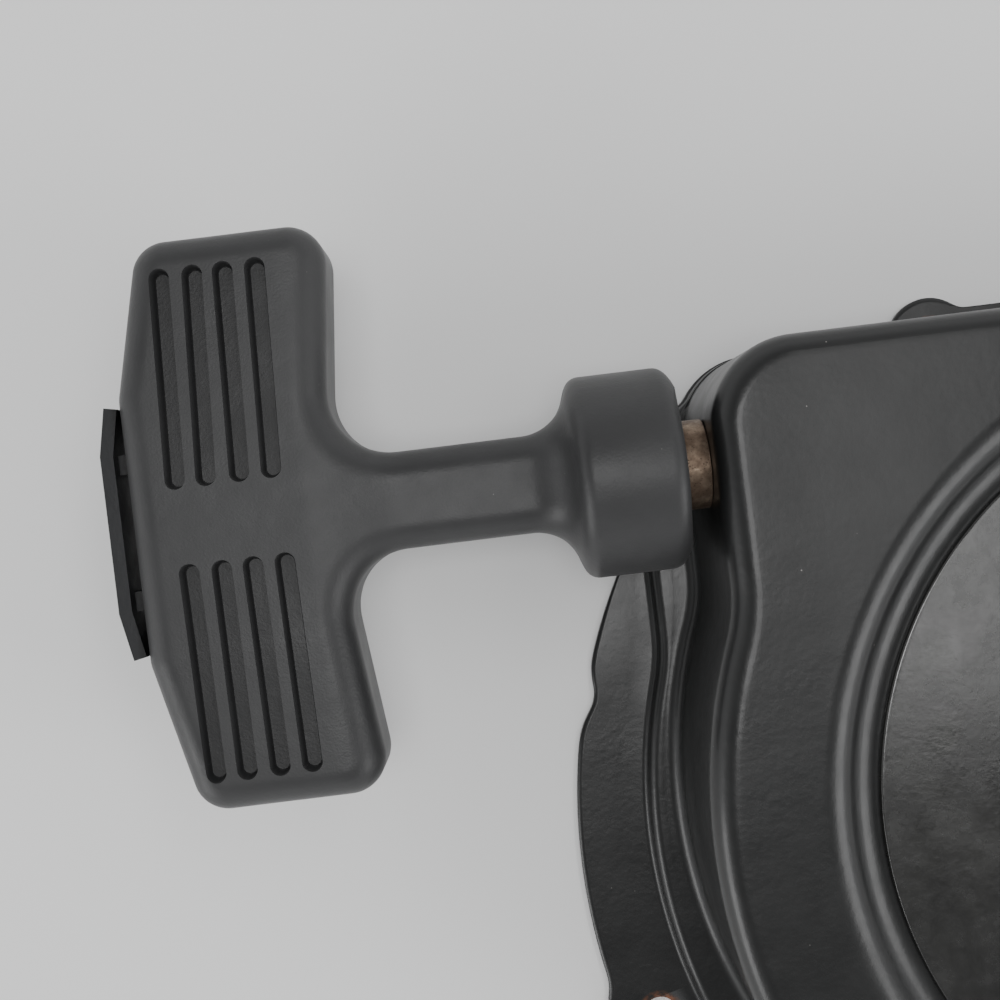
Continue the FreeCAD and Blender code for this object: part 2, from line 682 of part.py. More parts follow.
def pocket(body, name, height, circles=(), boxes=(), depth_rule=None):
    """Cut holes down from a height; circles are (x, y, r), boxes (x0, x1, y0, y1)."""
    before = body.Shape.Volume
    sketch = new_sketch(body, "XY_Plane", name + "_plan", height)
    for x, y, r in circles:
        sketch.addGeometry(Part.Circle(Vector(x, y, 0), Vector(0, 0, 1), r), False)
    for rect in boxes:
        rectangle(sketch, *rect)
    cut = body.newObject("PartDesign::Pocket", name)
    cut.Profile = sketch
    cut.setExpression("Length", depth_rule)
    doc.recompute()
    if body.Shape.Volume > before - 1.0:
        raise ValueError(name + " cuts nothing")
    return cut


def rope_exit():
    """Centre in plan of the hole by which the rope's inner end leaves the groove."""
    last_radius = dim("rope_line_y") - (ROPE_HALF_TURNS - 1) * dim("rope_pitch") / 2
    return (-ROPE_DIP, -last_radius)


ROPE_HALF_TURNS = 7
ROPE_DIP = 5.0


def finish_reel(body):
    """Ribs, pin holes, the spring's notch in the hub and the rope's exit hole."""
    reel_ribs(body)
    pivot = dim("pawl_pivot_radius")
    pins = [(side * pivot, 0.0, dim("pawl_pin_radius")) for side in (-1, 1)]
    pocket(body, "pin_holes", "dims.reel_web_base + dims.reel_web_thick", circles=pins,
           depth_rule="dims.reel_web_thick")
    notch = (0.6, 3.0, -dim("reel_hub_radius") - 0.5, -dim("reel_bush_radius") - 0.7)
    pocket(body, "spring_notch", "dims.reel_hub_top", boxes=[notch],
           depth_rule="dims.reel_hub_top - dims.reel_web_base - dims.reel_web_thick")
    exit_x, exit_y = rope_exit()
    hole = (exit_x, exit_y, dim("rope_radius") + 0.3)
    pocket(body, "rope_exit_hole", "dims.rope_line_z - dims.reel_groove_half", circles=[hole],
           depth_rule="dims.reel_flange_thick + 0.2")


def rope_wound():
    """Rope in the groove, one turn on another, with its inner end bent down to the knot."""
    step = dim("rope_pitch") / 2
    height = dim("rope_line_z")
    edges = []
    for arc in spiral_arcs(dim("rope_line_y"), step, ROPE_HALF_TURNS, -1):
        edge = arc_edge(*arc)
        edge.translate(Vector(0, 0, height))
        edges.append(edge)
    exit_x, exit_y = rope_exit()
    slope = math.sqrt(0.5)
    bend = [Vector(exit_x + ROPE_DIP, exit_y, height),
            Vector(exit_x + ROPE_DIP - ROPE_DIP * slope, exit_y, height - ROPE_DIP * (1 - slope)),
            Vector(exit_x, exit_y, height - ROPE_DIP)]
    edges.append(Part.Arc(*bend).toShape())
    return shaped("rope_wound", round_tube(edges, dim("rope_radius")))


def knot_shape(radius, length):
    """Two fat overlapping turns of rope pulled tight, standing on the plane z = 0."""
    turn = dim("rope_radius")
    ring = radius - turn
    lower = Part.makeTorus(ring, turn, Vector(0, 0, turn))
    upper = Part.makeTorus(ring, turn, Vector(0, 0, length - turn))
    core = cylinder(ring, 0.3, length - 0.3)
    return lower.fuse([upper, core]).removeSplitter()


def reel_knot():
    exit_x, exit_y = rope_exit()
    top = dim("rope_line_z") - ROPE_DIP
    knot = Part.makeCylinder(4.2, top - 15.2, Vector(exit_x, exit_y, 15.2))
    knot = knot.makeFillet(1.7, knot.Edges)
    return shaped("reel_knot", knot)


def pawl_plan(radius_a, radius_b, length):
    """Wire round two circles joined by their outer tangents; the first is at the origin."""
    lean = math.degrees(math.acos((radius_a - radius_b) / length))
    far = (length, 0.0)
    a_up = arc_point((0, 0), radius_a, lean)
    b_up = arc_point(far, radius_b, lean)
    a_down = arc_point((0, 0), radius_a, -lean)
    b_down = arc_point(far, radius_b, -lean)
    return Part.Wire([
        arc_edge((0, 0), radius_a, lean, 360 - 2 * lean), Part.makeLine(a_down, b_down),
        arc_edge(far, radius_b, -lean, 2 * lean), Part.makeLine(b_up, a_up)])


def pawl(label, angle):
    """Pawl lying in its rest place, with its pivot bore and drive stud."""
    low, thick = dim("pawl_base_z"), dim("pawl_thick")
    length = dim("pawl_length")
    body = Part.Face(pawl_plan(dim("pawl_boss"), dim("pawl_tip"), length)).extrude(Vector(0, 0, thick))
    face = box(length - 1.0, length + 5, -6.0, 6.0, -1, thick + 1)
    face.rotate(Vector(length - 1.0, -2.2, 0), Vector(0, 0, 1), 12)
    body = body.cut(face)
    bore = cylinder(dim("pawl_pin_radius") + dim("running_gap") + 0.03, -1, thick + 1)
    stud = cylinder(dim("stud_radius"), dim("stud_end_z") - low, 1.0, dim("stud_offset"), 0)
    body = body.cut(bore).fuse(stud).removeSplitter()
    body.rotate(Vector(), Vector(0, 0, 1), 90 + dim("pawl_lean"))
    body.translate(Vector(dim("pawl_pivot_radius"), 0, low))
    body.rotate(Vector(), Vector(0, 0, 1), angle)
    return shaped(label, body)


def pawl_pins():
    """Pivot pins pressed in the web, each with a groove for its clip."""
    solids = []
    for side in (-1, 1):
        x = side * dim("pawl_pivot_radius")
        top = dim("reel_web_base") + dim("reel_web_thick")
        pin = cylinder(dim("pawl_pin_radius"), dim("pawl_pin_end_z"), top, x)
        ring = cylinder(dim("pawl_pin_radius") + 1, clip_low(), clip_high(), x)
        ring = ring.cut(cylinder(dim("pawl_pin_radius") - 0.6, clip_low(), clip_high(), x))
        solids.append(pin.cut(ring))
    return shaped("pawl_pins", Part.makeCompound(solids))


def clip_low():
    return dim("clip_base_z") - 0.02


def clip_high():
    return dim("clip_base_z") + dim("clip_thick") + 0.02


def pawl_clips():
    """Open spring clips in the pins' grooves."""
    solids = []
    for side in (-1, 1):
        x = side * dim("pawl_pivot_radius")
        low = dim("clip_base_z")
        high = low + dim("clip_thick")
        clip = cylinder(dim("clip_radius"), low, high, x)
        clip = clip.cut(cylinder(dim("pawl_pin_radius") - 0.55, low - 1, high + 1, x))
        mouth = box(x - 1.5, x + 1.5, *sorted((0.0, side * 8.0)), low - 1, high + 1)
        solids.append(clip.cut(mouth))
    return shaped("pawl_clips", Part.makeCompound(solids))


CAM_STEPS = 6


def cam_points(side):
    """Edge of a cam slot: where the stud runs as the guide turns, shifted to one side."""
    pivot = Vector(dim("pawl_pivot_radius"), 0, 0)
    path = []
    for n in range(-1, CAM_STEPS + 2):
        part = n / CAM_STEPS
        lean = math.radians(90 + dim("pawl_lean") - part * dim("pawl_swing"))
        stud = pivot + Vector(math.cos(lean), math.sin(lean), 0) * dim("stud_offset")
        turn = Rotation(Vector(0, 0, 1), part * dim("guide_turn"))
        path.append(turn.multVec(stud))
    edge = []
    for n in range(1, len(path) - 1):
        along = (path[n + 1] - path[n - 1]).normalize()
        across = Vector(-along.y, along.x, 0)
        edge.append(path[n] + across * side)
    return edge, path[1], path[-2]


def pawl_guide():
    """Stamped disc whose cam slots swing the pawls when it lags behind the reel."""
    low, thick = dim("guide_base_z"), dim("guide_thick")
    half = dim("stud_radius") + dim("stud_play")
    plate = cylinder(dim("guide_radius"), 0, thick)
    plate = plate.cut(cylinder(dim("post_radius") + 2 * dim("running_gap"), -1, thick + 1))
    outer, first, last = cam_points(half)
    inner, first, last = cam_points(-half)
    sides = []
    for points in (outer, inner):
        curve = Part.BSplineCurve()
        curve.interpolate(points)
        sides.append(curve.toShape())
    caps = []
    for place, n, sign in ((first, 0, -1), (last, -1, 1)):
        across = outer[n] - inner[n]
        along = Vector(across.y, -across.x, 0).normalize() * half * sign
        caps.append(Part.Arc(outer[n], place + along, inner[n]).toShape())
    slot = Part.Face(Part.Wire(Part.__sortEdges__(sides + caps)))
    slot = slot.extrude(Vector(0, 0, 3 * thick))
    slot.translate(Vector(0, 0, -thick))
    for angle in (0, 180):
        tool = slot.copy()
        tool.rotate(Vector(), Vector(0, 0, 1), angle)
        plate = plate.cut(tool)
    for angle in (90, 270):
        window = arc_point((0, 0), dim("guide_window_reach"), angle - dim("guide_turn") / 2)
        plate = plate.cut(cylinder(dim("guide_window"), -1, thick + 1, window.x, window.y))
    plate.translate(Vector(0, 0, low))
    return shaped("pawl_guide", plate)


# ------------------------------------------------------------------ rope line pieces

def rope_bush():
    """Sintered guide bush: head outside the wall, neck through it, flared rim inside."""
    body = turned("rope_bush", [
        ("bush_bore", "assembly_gap"), ("bush_radius - bush_edge", "assembly_gap"),
        ("bush_radius - bush_edge", "bush_inside - sheet_gauge"),
        ("bush_radius - sheet_gauge - 0.05", "bush_inside - sheet_gauge"),
        ("bush_radius - sheet_gauge - 0.05", "bush_inside"), ("bush_radius", "bush_inside"),
        ("bush_radius", "bush_inside + bush_reach - bush_edge"),
        ("bush_radius - bush_edge", "bush_inside + bush_reach"),
        ("bush_bore + bush_edge", "bush_inside + bush_reach"),
        ("bush_bore", "bush_inside + bush_reach - bush_edge")])
    on_rope_line(body, "outlet_wall_x - bush_inside")
    return body


def rope_piece(label, near, far):
    """Straight stretch of the rope between two distances from the reel axis."""
    piece = doc.addObject("Part::Cylinder", label + "_length")
    piece.setExpression("Radius", "dims.rope_radius")
    piece.Placement = Placement(Vector(), Rotation(Vector(0, 1, 0), -90))
    piece.setExpression("Height", "(" + bound(far) + ") - (" + bound(near) + ")")
    piece.setExpression("Placement.Base.x", "-(" + bound(near) + ")")
    piece.setExpression("Placement.Base.y", "dims.rope_line_y")
    piece.setExpression("Placement.Base.z", "dims.rope_line_z")
    return keep(piece, label)


def knot_washer():
    body = turned("knot_washer", [
        ("rope_radius + 0.3", "assembly_gap"), ("pocket_radius - 0.2", "assembly_gap"),
        ("pocket_radius - 0.2", "washer_thick + assembly_gap"),
        ("rope_radius + 0.3", "washer_thick + assembly_gap")])
    on_rope_line(body, "bar_back_x - pocket_depth")
    return body


def handle_knot():
    """Figure-eight knot drawn up against the washer."""
    start = dim("bar_back_x") - dim("pocket_depth") + dim("washer_thick") + 5 * dim("assembly_gap")
    knot = knot_shape(dim("knot_radius"), dim("knot_length"))
    knot.rotate(Vector(), Vector(0, 1, 0), -90)
    knot.translate(Vector(-start, dim("rope_line_y"), dim("rope_line_z")))
    return shaped("handle_knot", knot)


def grip_sleeve():
    """Hard sleeve that lines the rubber so that the rope does not saw into it."""
    body = turned("grip_sleeve", [
        ("rope_radius + 0.3", "0.5"), ("grip_bore + sleeve_flange", "0.5"),
        ("grip_bore + sleeve_flange", "2.0"), ("grip_bore", "2.0"),
        ("grip_bore", "sleeve_length"), ("rope_radius + 0.3", "sleeve_length")])
    on_rope_line(body, "outlet_wall_x + bush_reach")
    return body


# Plan radii of the bar's corners: back, back, end, finger side, stem, finger side, end.
BAR_CORNERS = (10, 10, 5.5, 8, 30, 8, 5.5)


def bar_solid():
    """Rounded bar: slightly bowed, its ends thinner than its middle."""
    back, front = dim("bar_back_x"), dim("bar_front_x")
    half = dim("bar_half_length")
    end_back, end_front = back - dim("bar_back_taper"), front - dim("bar_front_bow")
    flat = dim("bar_back_flat")
    corners = [(back, -flat), (back, flat), (end_back, half), (end_front, half),
               (front, 0), (end_front, -half), (end_back, -half)]
    points = [Vector(-x, y, -dim("bar_half_thick")) for x, y in corners]
    wire = Part.makePolygon(points + [points[0]])
    bar = Part.Face(wire).extrude(Vector(0, 0, 2 * dim("bar_half_thick")))
    for (x, y), size in zip(corners, BAR_CORNERS):
        bar = bar.makeFillet(size, edges_along_z(bar, -x, y))
    rims = edges_at_height(bar, dim("bar_half_thick")) + edges_at_height(bar, -dim("bar_half_thick"))
    return bar.makeFillet(dim("bar_rim"), rims)


def stem_solid():
    half = dim("stem_width") / 2
    start = -dim("bar_front_x") - 6.0
    stem = box(start, -100.0, -half, half, -half, half)
    long_edges = [e for e in stem.Edges if abs(e.tangentAt(0).x) > 0.9]
    return stem.makeFillet(dim("stem_corner"), long_edges)


def collar_solid():
    """Round collar with a hollow flare down to the stem, turned about the rope line."""
    face = -(dim("outlet_wall_x") + dim("bush_reach") + 0.05)
    back = face - dim("collar_length")
    radius, edge, flare = dim("collar_radius"), dim("collar_edge"), dim("flare_radius")
    low = dim("stem_width") / 2 - 0.3
    top = radius - edge
    angle = math.acos(1 - (top - low) / flare)
    start = back - flare * math.sin(angle)
    mid = angle / 2
    slope = math.sqrt(0.5)

    def at(x, r):
        return Vector(x, r, 0)

    edges = [
        Part.makeLine(at(start, 0), at(start, low)),
        Part.Arc(at(start, low), at(start + flare * math.sin(mid), low + flare * (1 - math.cos(mid))),
                 at(back, top)).toShape(),
        Part.Arc(at(back, top), at(back + edge * (1 - slope), top + edge * slope),
                 at(back + edge, radius)).toShape(),
        Part.makeLine(at(back + edge, radius), at(face - edge, radius)),
        Part.Arc(at(face - edge, radius), at(face - edge * (1 - slope), top + edge * slope),
                 at(face, top)).toShape(),
        Part.makeLine(at(face, top), at(face, 0)), Part.makeLine(at(face, 0), at(start, 0))]
    return Part.Face(Part.Wire(edges)).revolve(Vector(), Vector(1, 0, 0), 360)


def slot_tools():
    """Rounded slots across both flat sides of the bar, four each side of the stem."""
    length, width = dim("slot_length"), dim("slot_width")
    half = dim("bar_half_thick")
    tools = []
    for n in range(4):
        x = -(dim("bar_back_x") - dim("slot_inset") - n * dim("slot_pitch"))
        for side in (-1, 1):
            centre_y = side * (dim("slot_gap_half") + length / 2)
            for face in (-1, 1):
                z0, z1 = sorted((face * (half - dim("slot_depth")), face * (half + 2)))
                run = length / 2 - width / 2
                tool = box(x - width / 2, x + width / 2, centre_y - run, centre_y + run, z0, z1)
                for end in (-1, 1):
                    tool = tool.fuse(cylinder(width / 2, z0, z1, x, centre_y + end * run))
                tools.append(tool)
    return tools


def grip():
    body = bar_solid().fuse(stem_solid()).fuse(collar_solid()).removeSplitter()
    for tool in slot_tools():
        body = body.cut(tool)
    axis = Vector(-1, 0, 0)
    mouth = -(dim("outlet_wall_x") + dim("bush_reach"))
    body = body.cut(Part.makeCylinder(dim("grip_bore"), 120, Vector(mouth + 1, 0, 0), axis))
    seat = dim("grip_bore") + dim("sleeve_flange")
    body = body.cut(Part.makeCylinder(seat, 3.0, Vector(mouth + 1, 0, 0), axis))
    pocket_start = -(dim("bar_back_x") - dim("pocket_depth"))
    body = body.cut(Part.makeCylinder(dim("pocket_radius"), 40, Vector(pocket_start, 0, 0), axis))
    for side in (-1, 1):
        body = body.cut(cap_leg(side, 0.1))
    body.translate(Vector(0, dim("rope_line_y"), dim("rope_line_z")))
    return shaped("grip", body)


def cap_leg(side, gap):
    """Barbed leg of the rear cap, or with a gap the pocket it snaps into."""
    y = side * dim("cap_leg_y")
    x0 = -dim("cap_x") + dim("cap_thick") - 0.5
    thick, width = dim("cap_leg_half_thick") + gap, dim("cap_leg_half_width") + gap
    return box(x0, -dim("bar_back_x") + dim("cap_leg_reach") + gap, y - thick, y + thick,
               -width, width)


def rear_cap():
    """Hard plate over the knot pocket, standing off the rubber, its ends bent forwards."""
    outer = -dim("cap_x")
    thick = dim("cap_thick")
    half_flat = dim("cap_flat") / 2
    bend = math.radians(dim("cap_bend"))
    run = dim("cap_length") / 2 - half_flat
    reach_x, reach_y = run * math.tan(bend), run
    lap = thick * math.tan(bend / 2)
    points = [(outer, -half_flat), (outer, half_flat), (outer + reach_x, half_flat + reach_y),
              (outer + reach_x + thick * math.cos(bend), half_flat + reach_y - thick * math.sin(bend)),
              (outer + thick, half_flat - lap), (outer + thick, -half_flat + lap),
              (outer + reach_x + thick * math.cos(bend), -half_flat - reach_y + thick * math.sin(bend)),
              (outer + reach_x, -half_flat - reach_y)]
    low = -dim("cap_width") / 2
    vertices = [Vector(x, y, low) for x, y in points]
    plate = Part.Face(Part.makePolygon(vertices + [vertices[0]]))
    plate = plate.extrude(Vector(0, 0, dim("cap_width")))
    for side in (-1, 1):
        plate = plate.fuse(cap_leg(side, 0.0))
    plate = plate.removeSplitter()
    plate.translate(Vector(0, dim("rope_line_y"), dim("rope_line_z")))
    return shaped("rear_cap", plate)


# ------------------------------------------------------------------ assembly

def check_and_write():
    doc.recompute()
    for obj in doc.Objects:
        if "Invalid" in obj.State or "Error" in obj.State:
            raise ValueError("%s failed: %s" % (obj.Name, obj.State))
    os.makedirs("parts", exist_ok=True)
    for piece in PIECES:
        shape = piece.Shape
        if shape.isNull() or not shape.isValid() or not shape.Solids:
            raise ValueError(piece.Label + " has no valid solid")
        shape.exportStep("parts/%s.step" % piece.Label)
        print("%-16s %9.1f mm3  %d solid(s)" % (piece.Label, shape.Volume, len(shape.Solids)))


housing_shell()
badge_disc()
centre_post()
thrust_washer()
brake_spring()
post_washer()
retaining_nut()
spring_anchor()
recoil_spring()
finish_reel(reel())
reel_bush()
rope_wound()
reel_knot()
pawl("pawl_a", 0)
pawl("pawl_b", 180)
pawl_pins()
pawl_clips()
pawl_guide()
rope_bush()
rope_piece("rope_lead", "26.0", "outlet_wall_x")
rope_piece("rope_run", "outlet_wall_x", "outlet_wall_x + 20.0")
rope_piece("rope_tail", "outlet_wall_x + 20.0",
           "bar_back_x - pocket_depth + washer_thick + assembly_gap * 5")
knot_washer()
handle_knot()
grip_sleeve()
grip()
rear_cap()
check_and_write()
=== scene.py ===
"""Looks for the recoil starter: pressed and painted housing, moulded rubber handle, bush,
rope and the working parts under the reel.  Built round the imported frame, in metres."""

import math

import bpy
import numpy as np
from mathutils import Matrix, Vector


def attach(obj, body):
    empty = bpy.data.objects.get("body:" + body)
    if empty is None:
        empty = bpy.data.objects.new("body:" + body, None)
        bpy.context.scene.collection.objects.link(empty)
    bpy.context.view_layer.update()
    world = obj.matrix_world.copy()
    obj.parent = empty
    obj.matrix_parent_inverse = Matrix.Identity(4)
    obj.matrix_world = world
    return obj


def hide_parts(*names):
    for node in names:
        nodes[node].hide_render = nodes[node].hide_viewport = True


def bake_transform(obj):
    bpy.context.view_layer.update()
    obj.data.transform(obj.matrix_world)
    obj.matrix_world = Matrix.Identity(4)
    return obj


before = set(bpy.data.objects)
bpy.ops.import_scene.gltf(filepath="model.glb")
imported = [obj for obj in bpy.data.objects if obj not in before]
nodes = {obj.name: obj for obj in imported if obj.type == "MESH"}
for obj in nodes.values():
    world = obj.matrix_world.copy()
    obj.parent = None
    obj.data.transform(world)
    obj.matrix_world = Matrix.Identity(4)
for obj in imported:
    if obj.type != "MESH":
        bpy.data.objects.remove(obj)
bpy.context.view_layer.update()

MM = 0.001

# Sizes in millimetres, the CAD's or close to them.  _R is a radius; _X, _Y and _Z are places.

# The drum of the pressing: a round wall, a flat wall at +Y and an end wall at -X.
GAUGE = 1.5
FACE_Z = 38.0
DRUM_R = 85.4
FLAT_Y = 74.7
OUTLET_X = 78.2
OUTLET_CORNER, OUTLET_HOLLOW, SHOULDER = 13.3, 25.0, 18.0
TOP_ROUND, FOOT_ROUND = 4.0, 2.6

# The round recess in its face, and the blank disc that lies in it.
RECESS_Z = 33.5
RECESS_FLOOR_R, RECESS_LIP_R = 62.6, 66.8
RECESS_FLOOR_ROUND, RECESS_LIP_ROUND = 6.0, 6.5
DISC_R, DISC_THICK = 60.0, 1.0

# The step round the foot of the drum.
LEDGE_Z = 4.5
LEDGE_R, LEDGE_DROP = 91.3, 5.4
LEDGE_FLAT_Y, LEDGE_END_X = FLAT_Y - 2.5, OUTLET_X + 8.0
LEDGE_CORNER, LEDGE_HOLLOW, LEDGE_SHOULDER = 22.0, 30.0, 22.3
LEDGE_EDGE, LEDGE_TOE = 1.7, 1.2

# The flange: its round edge, its two flat stretches, its end and the corner between them.
FLANGE_R, FLANGE_DROP = 104.1, 9.3
FLANGE_FLAT_Y, FLANGE_LEFT_Y, FLANGE_END_X = 79.0, 72.3, 84.5
FLANGE_CORNER_X, FLANGE_CORNER_Y, FLANGE_CORNER_R = -75.5, 63.3, 9.0
FLANGE_CORNER_HALF_ANGLE = 6.3
NOTCH_X, NOTCH_Y, NOTCH_DEPTH, NOTCH_SPREAD = -102.5, 19.5, 2.0, 1.9

# Bolt holes: x, y and the radius of the lobe of sheet round each.  The two upper ones have a
# pocket in the flat wall beside them.
BOLTS = [(-32.5, 74.2, 7.2), (32.5, 74.2, 7.2), (-93.6, -37.2, 9.4), (93.6, -37.2, 9.4)]
BOLT_HOLE = 3.0
POCKET_R, POCKET_TOP = 6.2, 16.0

# The rope leaves through the end wall, along -X.
ROPE_Y, ROPE_Z, ROPE_R = 57.2, 24.4, 2.5
OUTLET_HOLE = 5.5
ROPE_START, RUN_START, RUN_END, ROPE_END = 26.0, 78.2, 98.2, 153.55
BRAID_STRANDS, BRAID_LAY, BRAID_SUNK, BRAID_RELIEF = 8, 5.2, 0.26, 0.24

# The grip, measured along the rope from the reel's axis towards the hand.
COLLAR_FACE, COLLAR_BACK, COLLAR_R, COLLAR_ROUND = 82.75, 98.75, 15.75, 2.3
STEM_HALF_WIDTH, STEM_HALF_THICK = 7.5, 7.5
BAR_FRONT, BAR_WAIST, BAR_TIP_BACK, BAR_BACK = 132.6, 136.8, 162.0, 166.3
BAR_HALF_SPAN, BAR_BACK_HALF, BAR_CORNER = 43.4, 19.5, 5.5
BAR_HALF_THICK = 9.5
SLOT_HALF_LENGTH, SLOT_HALF_WIDTH, SLOT_DEPTH = 16.5, 1.55, 2.5
SLOT_FIRST, SLOT_PITCH, SLOT_FROM_MIDDLE = 157.7, 4.8, 5.6
SLOT_LEAN = {1: 0.045, -1: 0.014}
BORE_R, BORE_END = 4.35, 153.0
MOUTH_R, MOUTH_DEPTH = 6.35, 1.6
KNOT_POCKET_R, KNOT_POCKET_START = 6.5, 152.0
LEG_Y, LEG_HALF_WIDTH, LEG_HALF_HEIGHT, LEG_HOLE_START = 10.5, 1.6, 4.1, 158.4
GRIP_BOX = ((78.6, -44.6, -17.6), (168.2, 44.6, 17.6))

rng = np.random.default_rng(7)


# ------------------------------------------------------------------ mesh helpers

def link(mesh, name):
    """New object for the mesh, in the scene."""
    obj = bpy.data.objects.new(name, mesh)
    bpy.context.scene.collection.objects.link(obj)
    return obj


def mesh_object(name, verts_mm, faces, smooth=True):
    """Mesh object from millimetre vertices and a list or array of faces."""
    mesh = bpy.data.meshes.new(name)
    mesh.from_pydata((np.asarray(verts_mm) * MM).tolist(), [], [list(map(int, f)) for f in faces])
    mesh.validate()
    mesh.polygons.foreach_set("use_smooth", [smooth] * len(mesh.polygons))
    mesh.update()
    return link(mesh, name)


def ring_faces(rings, count):
    """Quads between successive closed rings of count points each."""
    i = np.arange(count)
    j = (i + 1) % count
    out = []
    for k in range(rings - 1):
        a, b = k * count, (k + 1) * count
        out.append(np.stack([a + i, a + j, b + j, b + i], 1))
    return np.concatenate(out)


def lathe(name, profile, steps, axis="z", origin=(0, 0, 0), disc=False):
    """Closed turned form; profile is (radius, height) points in order round the section.

    A disc has no bore: its section is open at the middle and flat faces close the ends.
    """
    profile = np.asarray(profile, float)
    angle = np.linspace(0, 2 * math.pi, steps, endpoint=False)
    rings = []
    for radius, height in profile:
        x, y, z = radius * np.cos(angle), radius * np.sin(angle), np.full(steps, height)
        if axis == "x":
            x, y, z = -z, y, x
        rings.append(np.stack([x, y, z], 1))
    verts = np.concatenate(rings) + np.asarray(origin)
    if disc:
        faces = [list(face) for face in ring_faces(len(profile), steps)]
        faces += [list(range(steps))[::-1], list(range(len(verts) - steps, len(verts)))]
    else:
        faces = ring_faces(len(profile) + 1, steps) % len(verts)
    return mesh_object(name, verts, faces)


def rounded(points, rounds, steps=5):
    """Closed section with its corners rounded; rounds gives a radius for each corner."""
    points = [np.asarray(p, float) for p in points]
    out = []
    for n, corner in enumerate(points):
        radius = rounds[n]
        if radius <= 0:
            out.append(corner)
            continue
        back = points[n - 1] - corner
        ahead = points[(n + 1) % len(points)] - corner
        back /= np.linalg.norm(back)
        ahead /= np.linalg.norm(ahead)
        half = math.acos(np.clip(back @ ahead, -1, 1)) / 2
        reach = radius / math.tan(half)
        middle = back + ahead
        centre = corner + middle / np.linalg.norm(middle) * radius / math.sin(half)
        start = corner + back * reach - centre
        end = corner + ahead * reach - centre
        turn = math.atan2(start[0] * end[1] - start[1] * end[0], start @ end)
        for k in range(steps + 1):
            a = turn * k / steps
            out.append(centre + np.array([start[0] * math.cos(a) - start[1] * math.sin(a),
                                          start[0] * math.sin(a) + start[1] * math.cos(a)]))
    return out


def apply_modifiers(obj):
    """Turn the object's modifiers into mesh, in order."""
    bpy.context.view_layer.objects.active = obj
    for modifier in list(obj.modifiers):
        bpy.ops.object.modifier_apply(modifier=modifier.name)


def cut_away(obj, cutter):
    """Take the cutter's volume out of the object, and the cutter out of the scene."""
    modifier = obj.modifiers.new("cut", "BOOLEAN")
    modifier.operation = "DIFFERENCE"
    modifier.solver = "EXACT"
    modifier.object = cutter
    apply_modifiers(obj)
    bpy.data.objects.remove(cutter)


def noise3(points, size, seed):
    """Smooth random field of about unit height over points, size in the points' unit."""
    source = np.random.default_rng(seed)
    total = np.zeros(len(points))
    for octave in range(2):
        for _ in range(10):
            wave = source.normal(size=3) * (2 ** octave) * 2.2 / size
            total += math.pow(0.5, octave) * np.sin(points @ wave + source.uniform(0, 6.28))
    return total / 4.0


# ------------------------------------------------------------------ materials

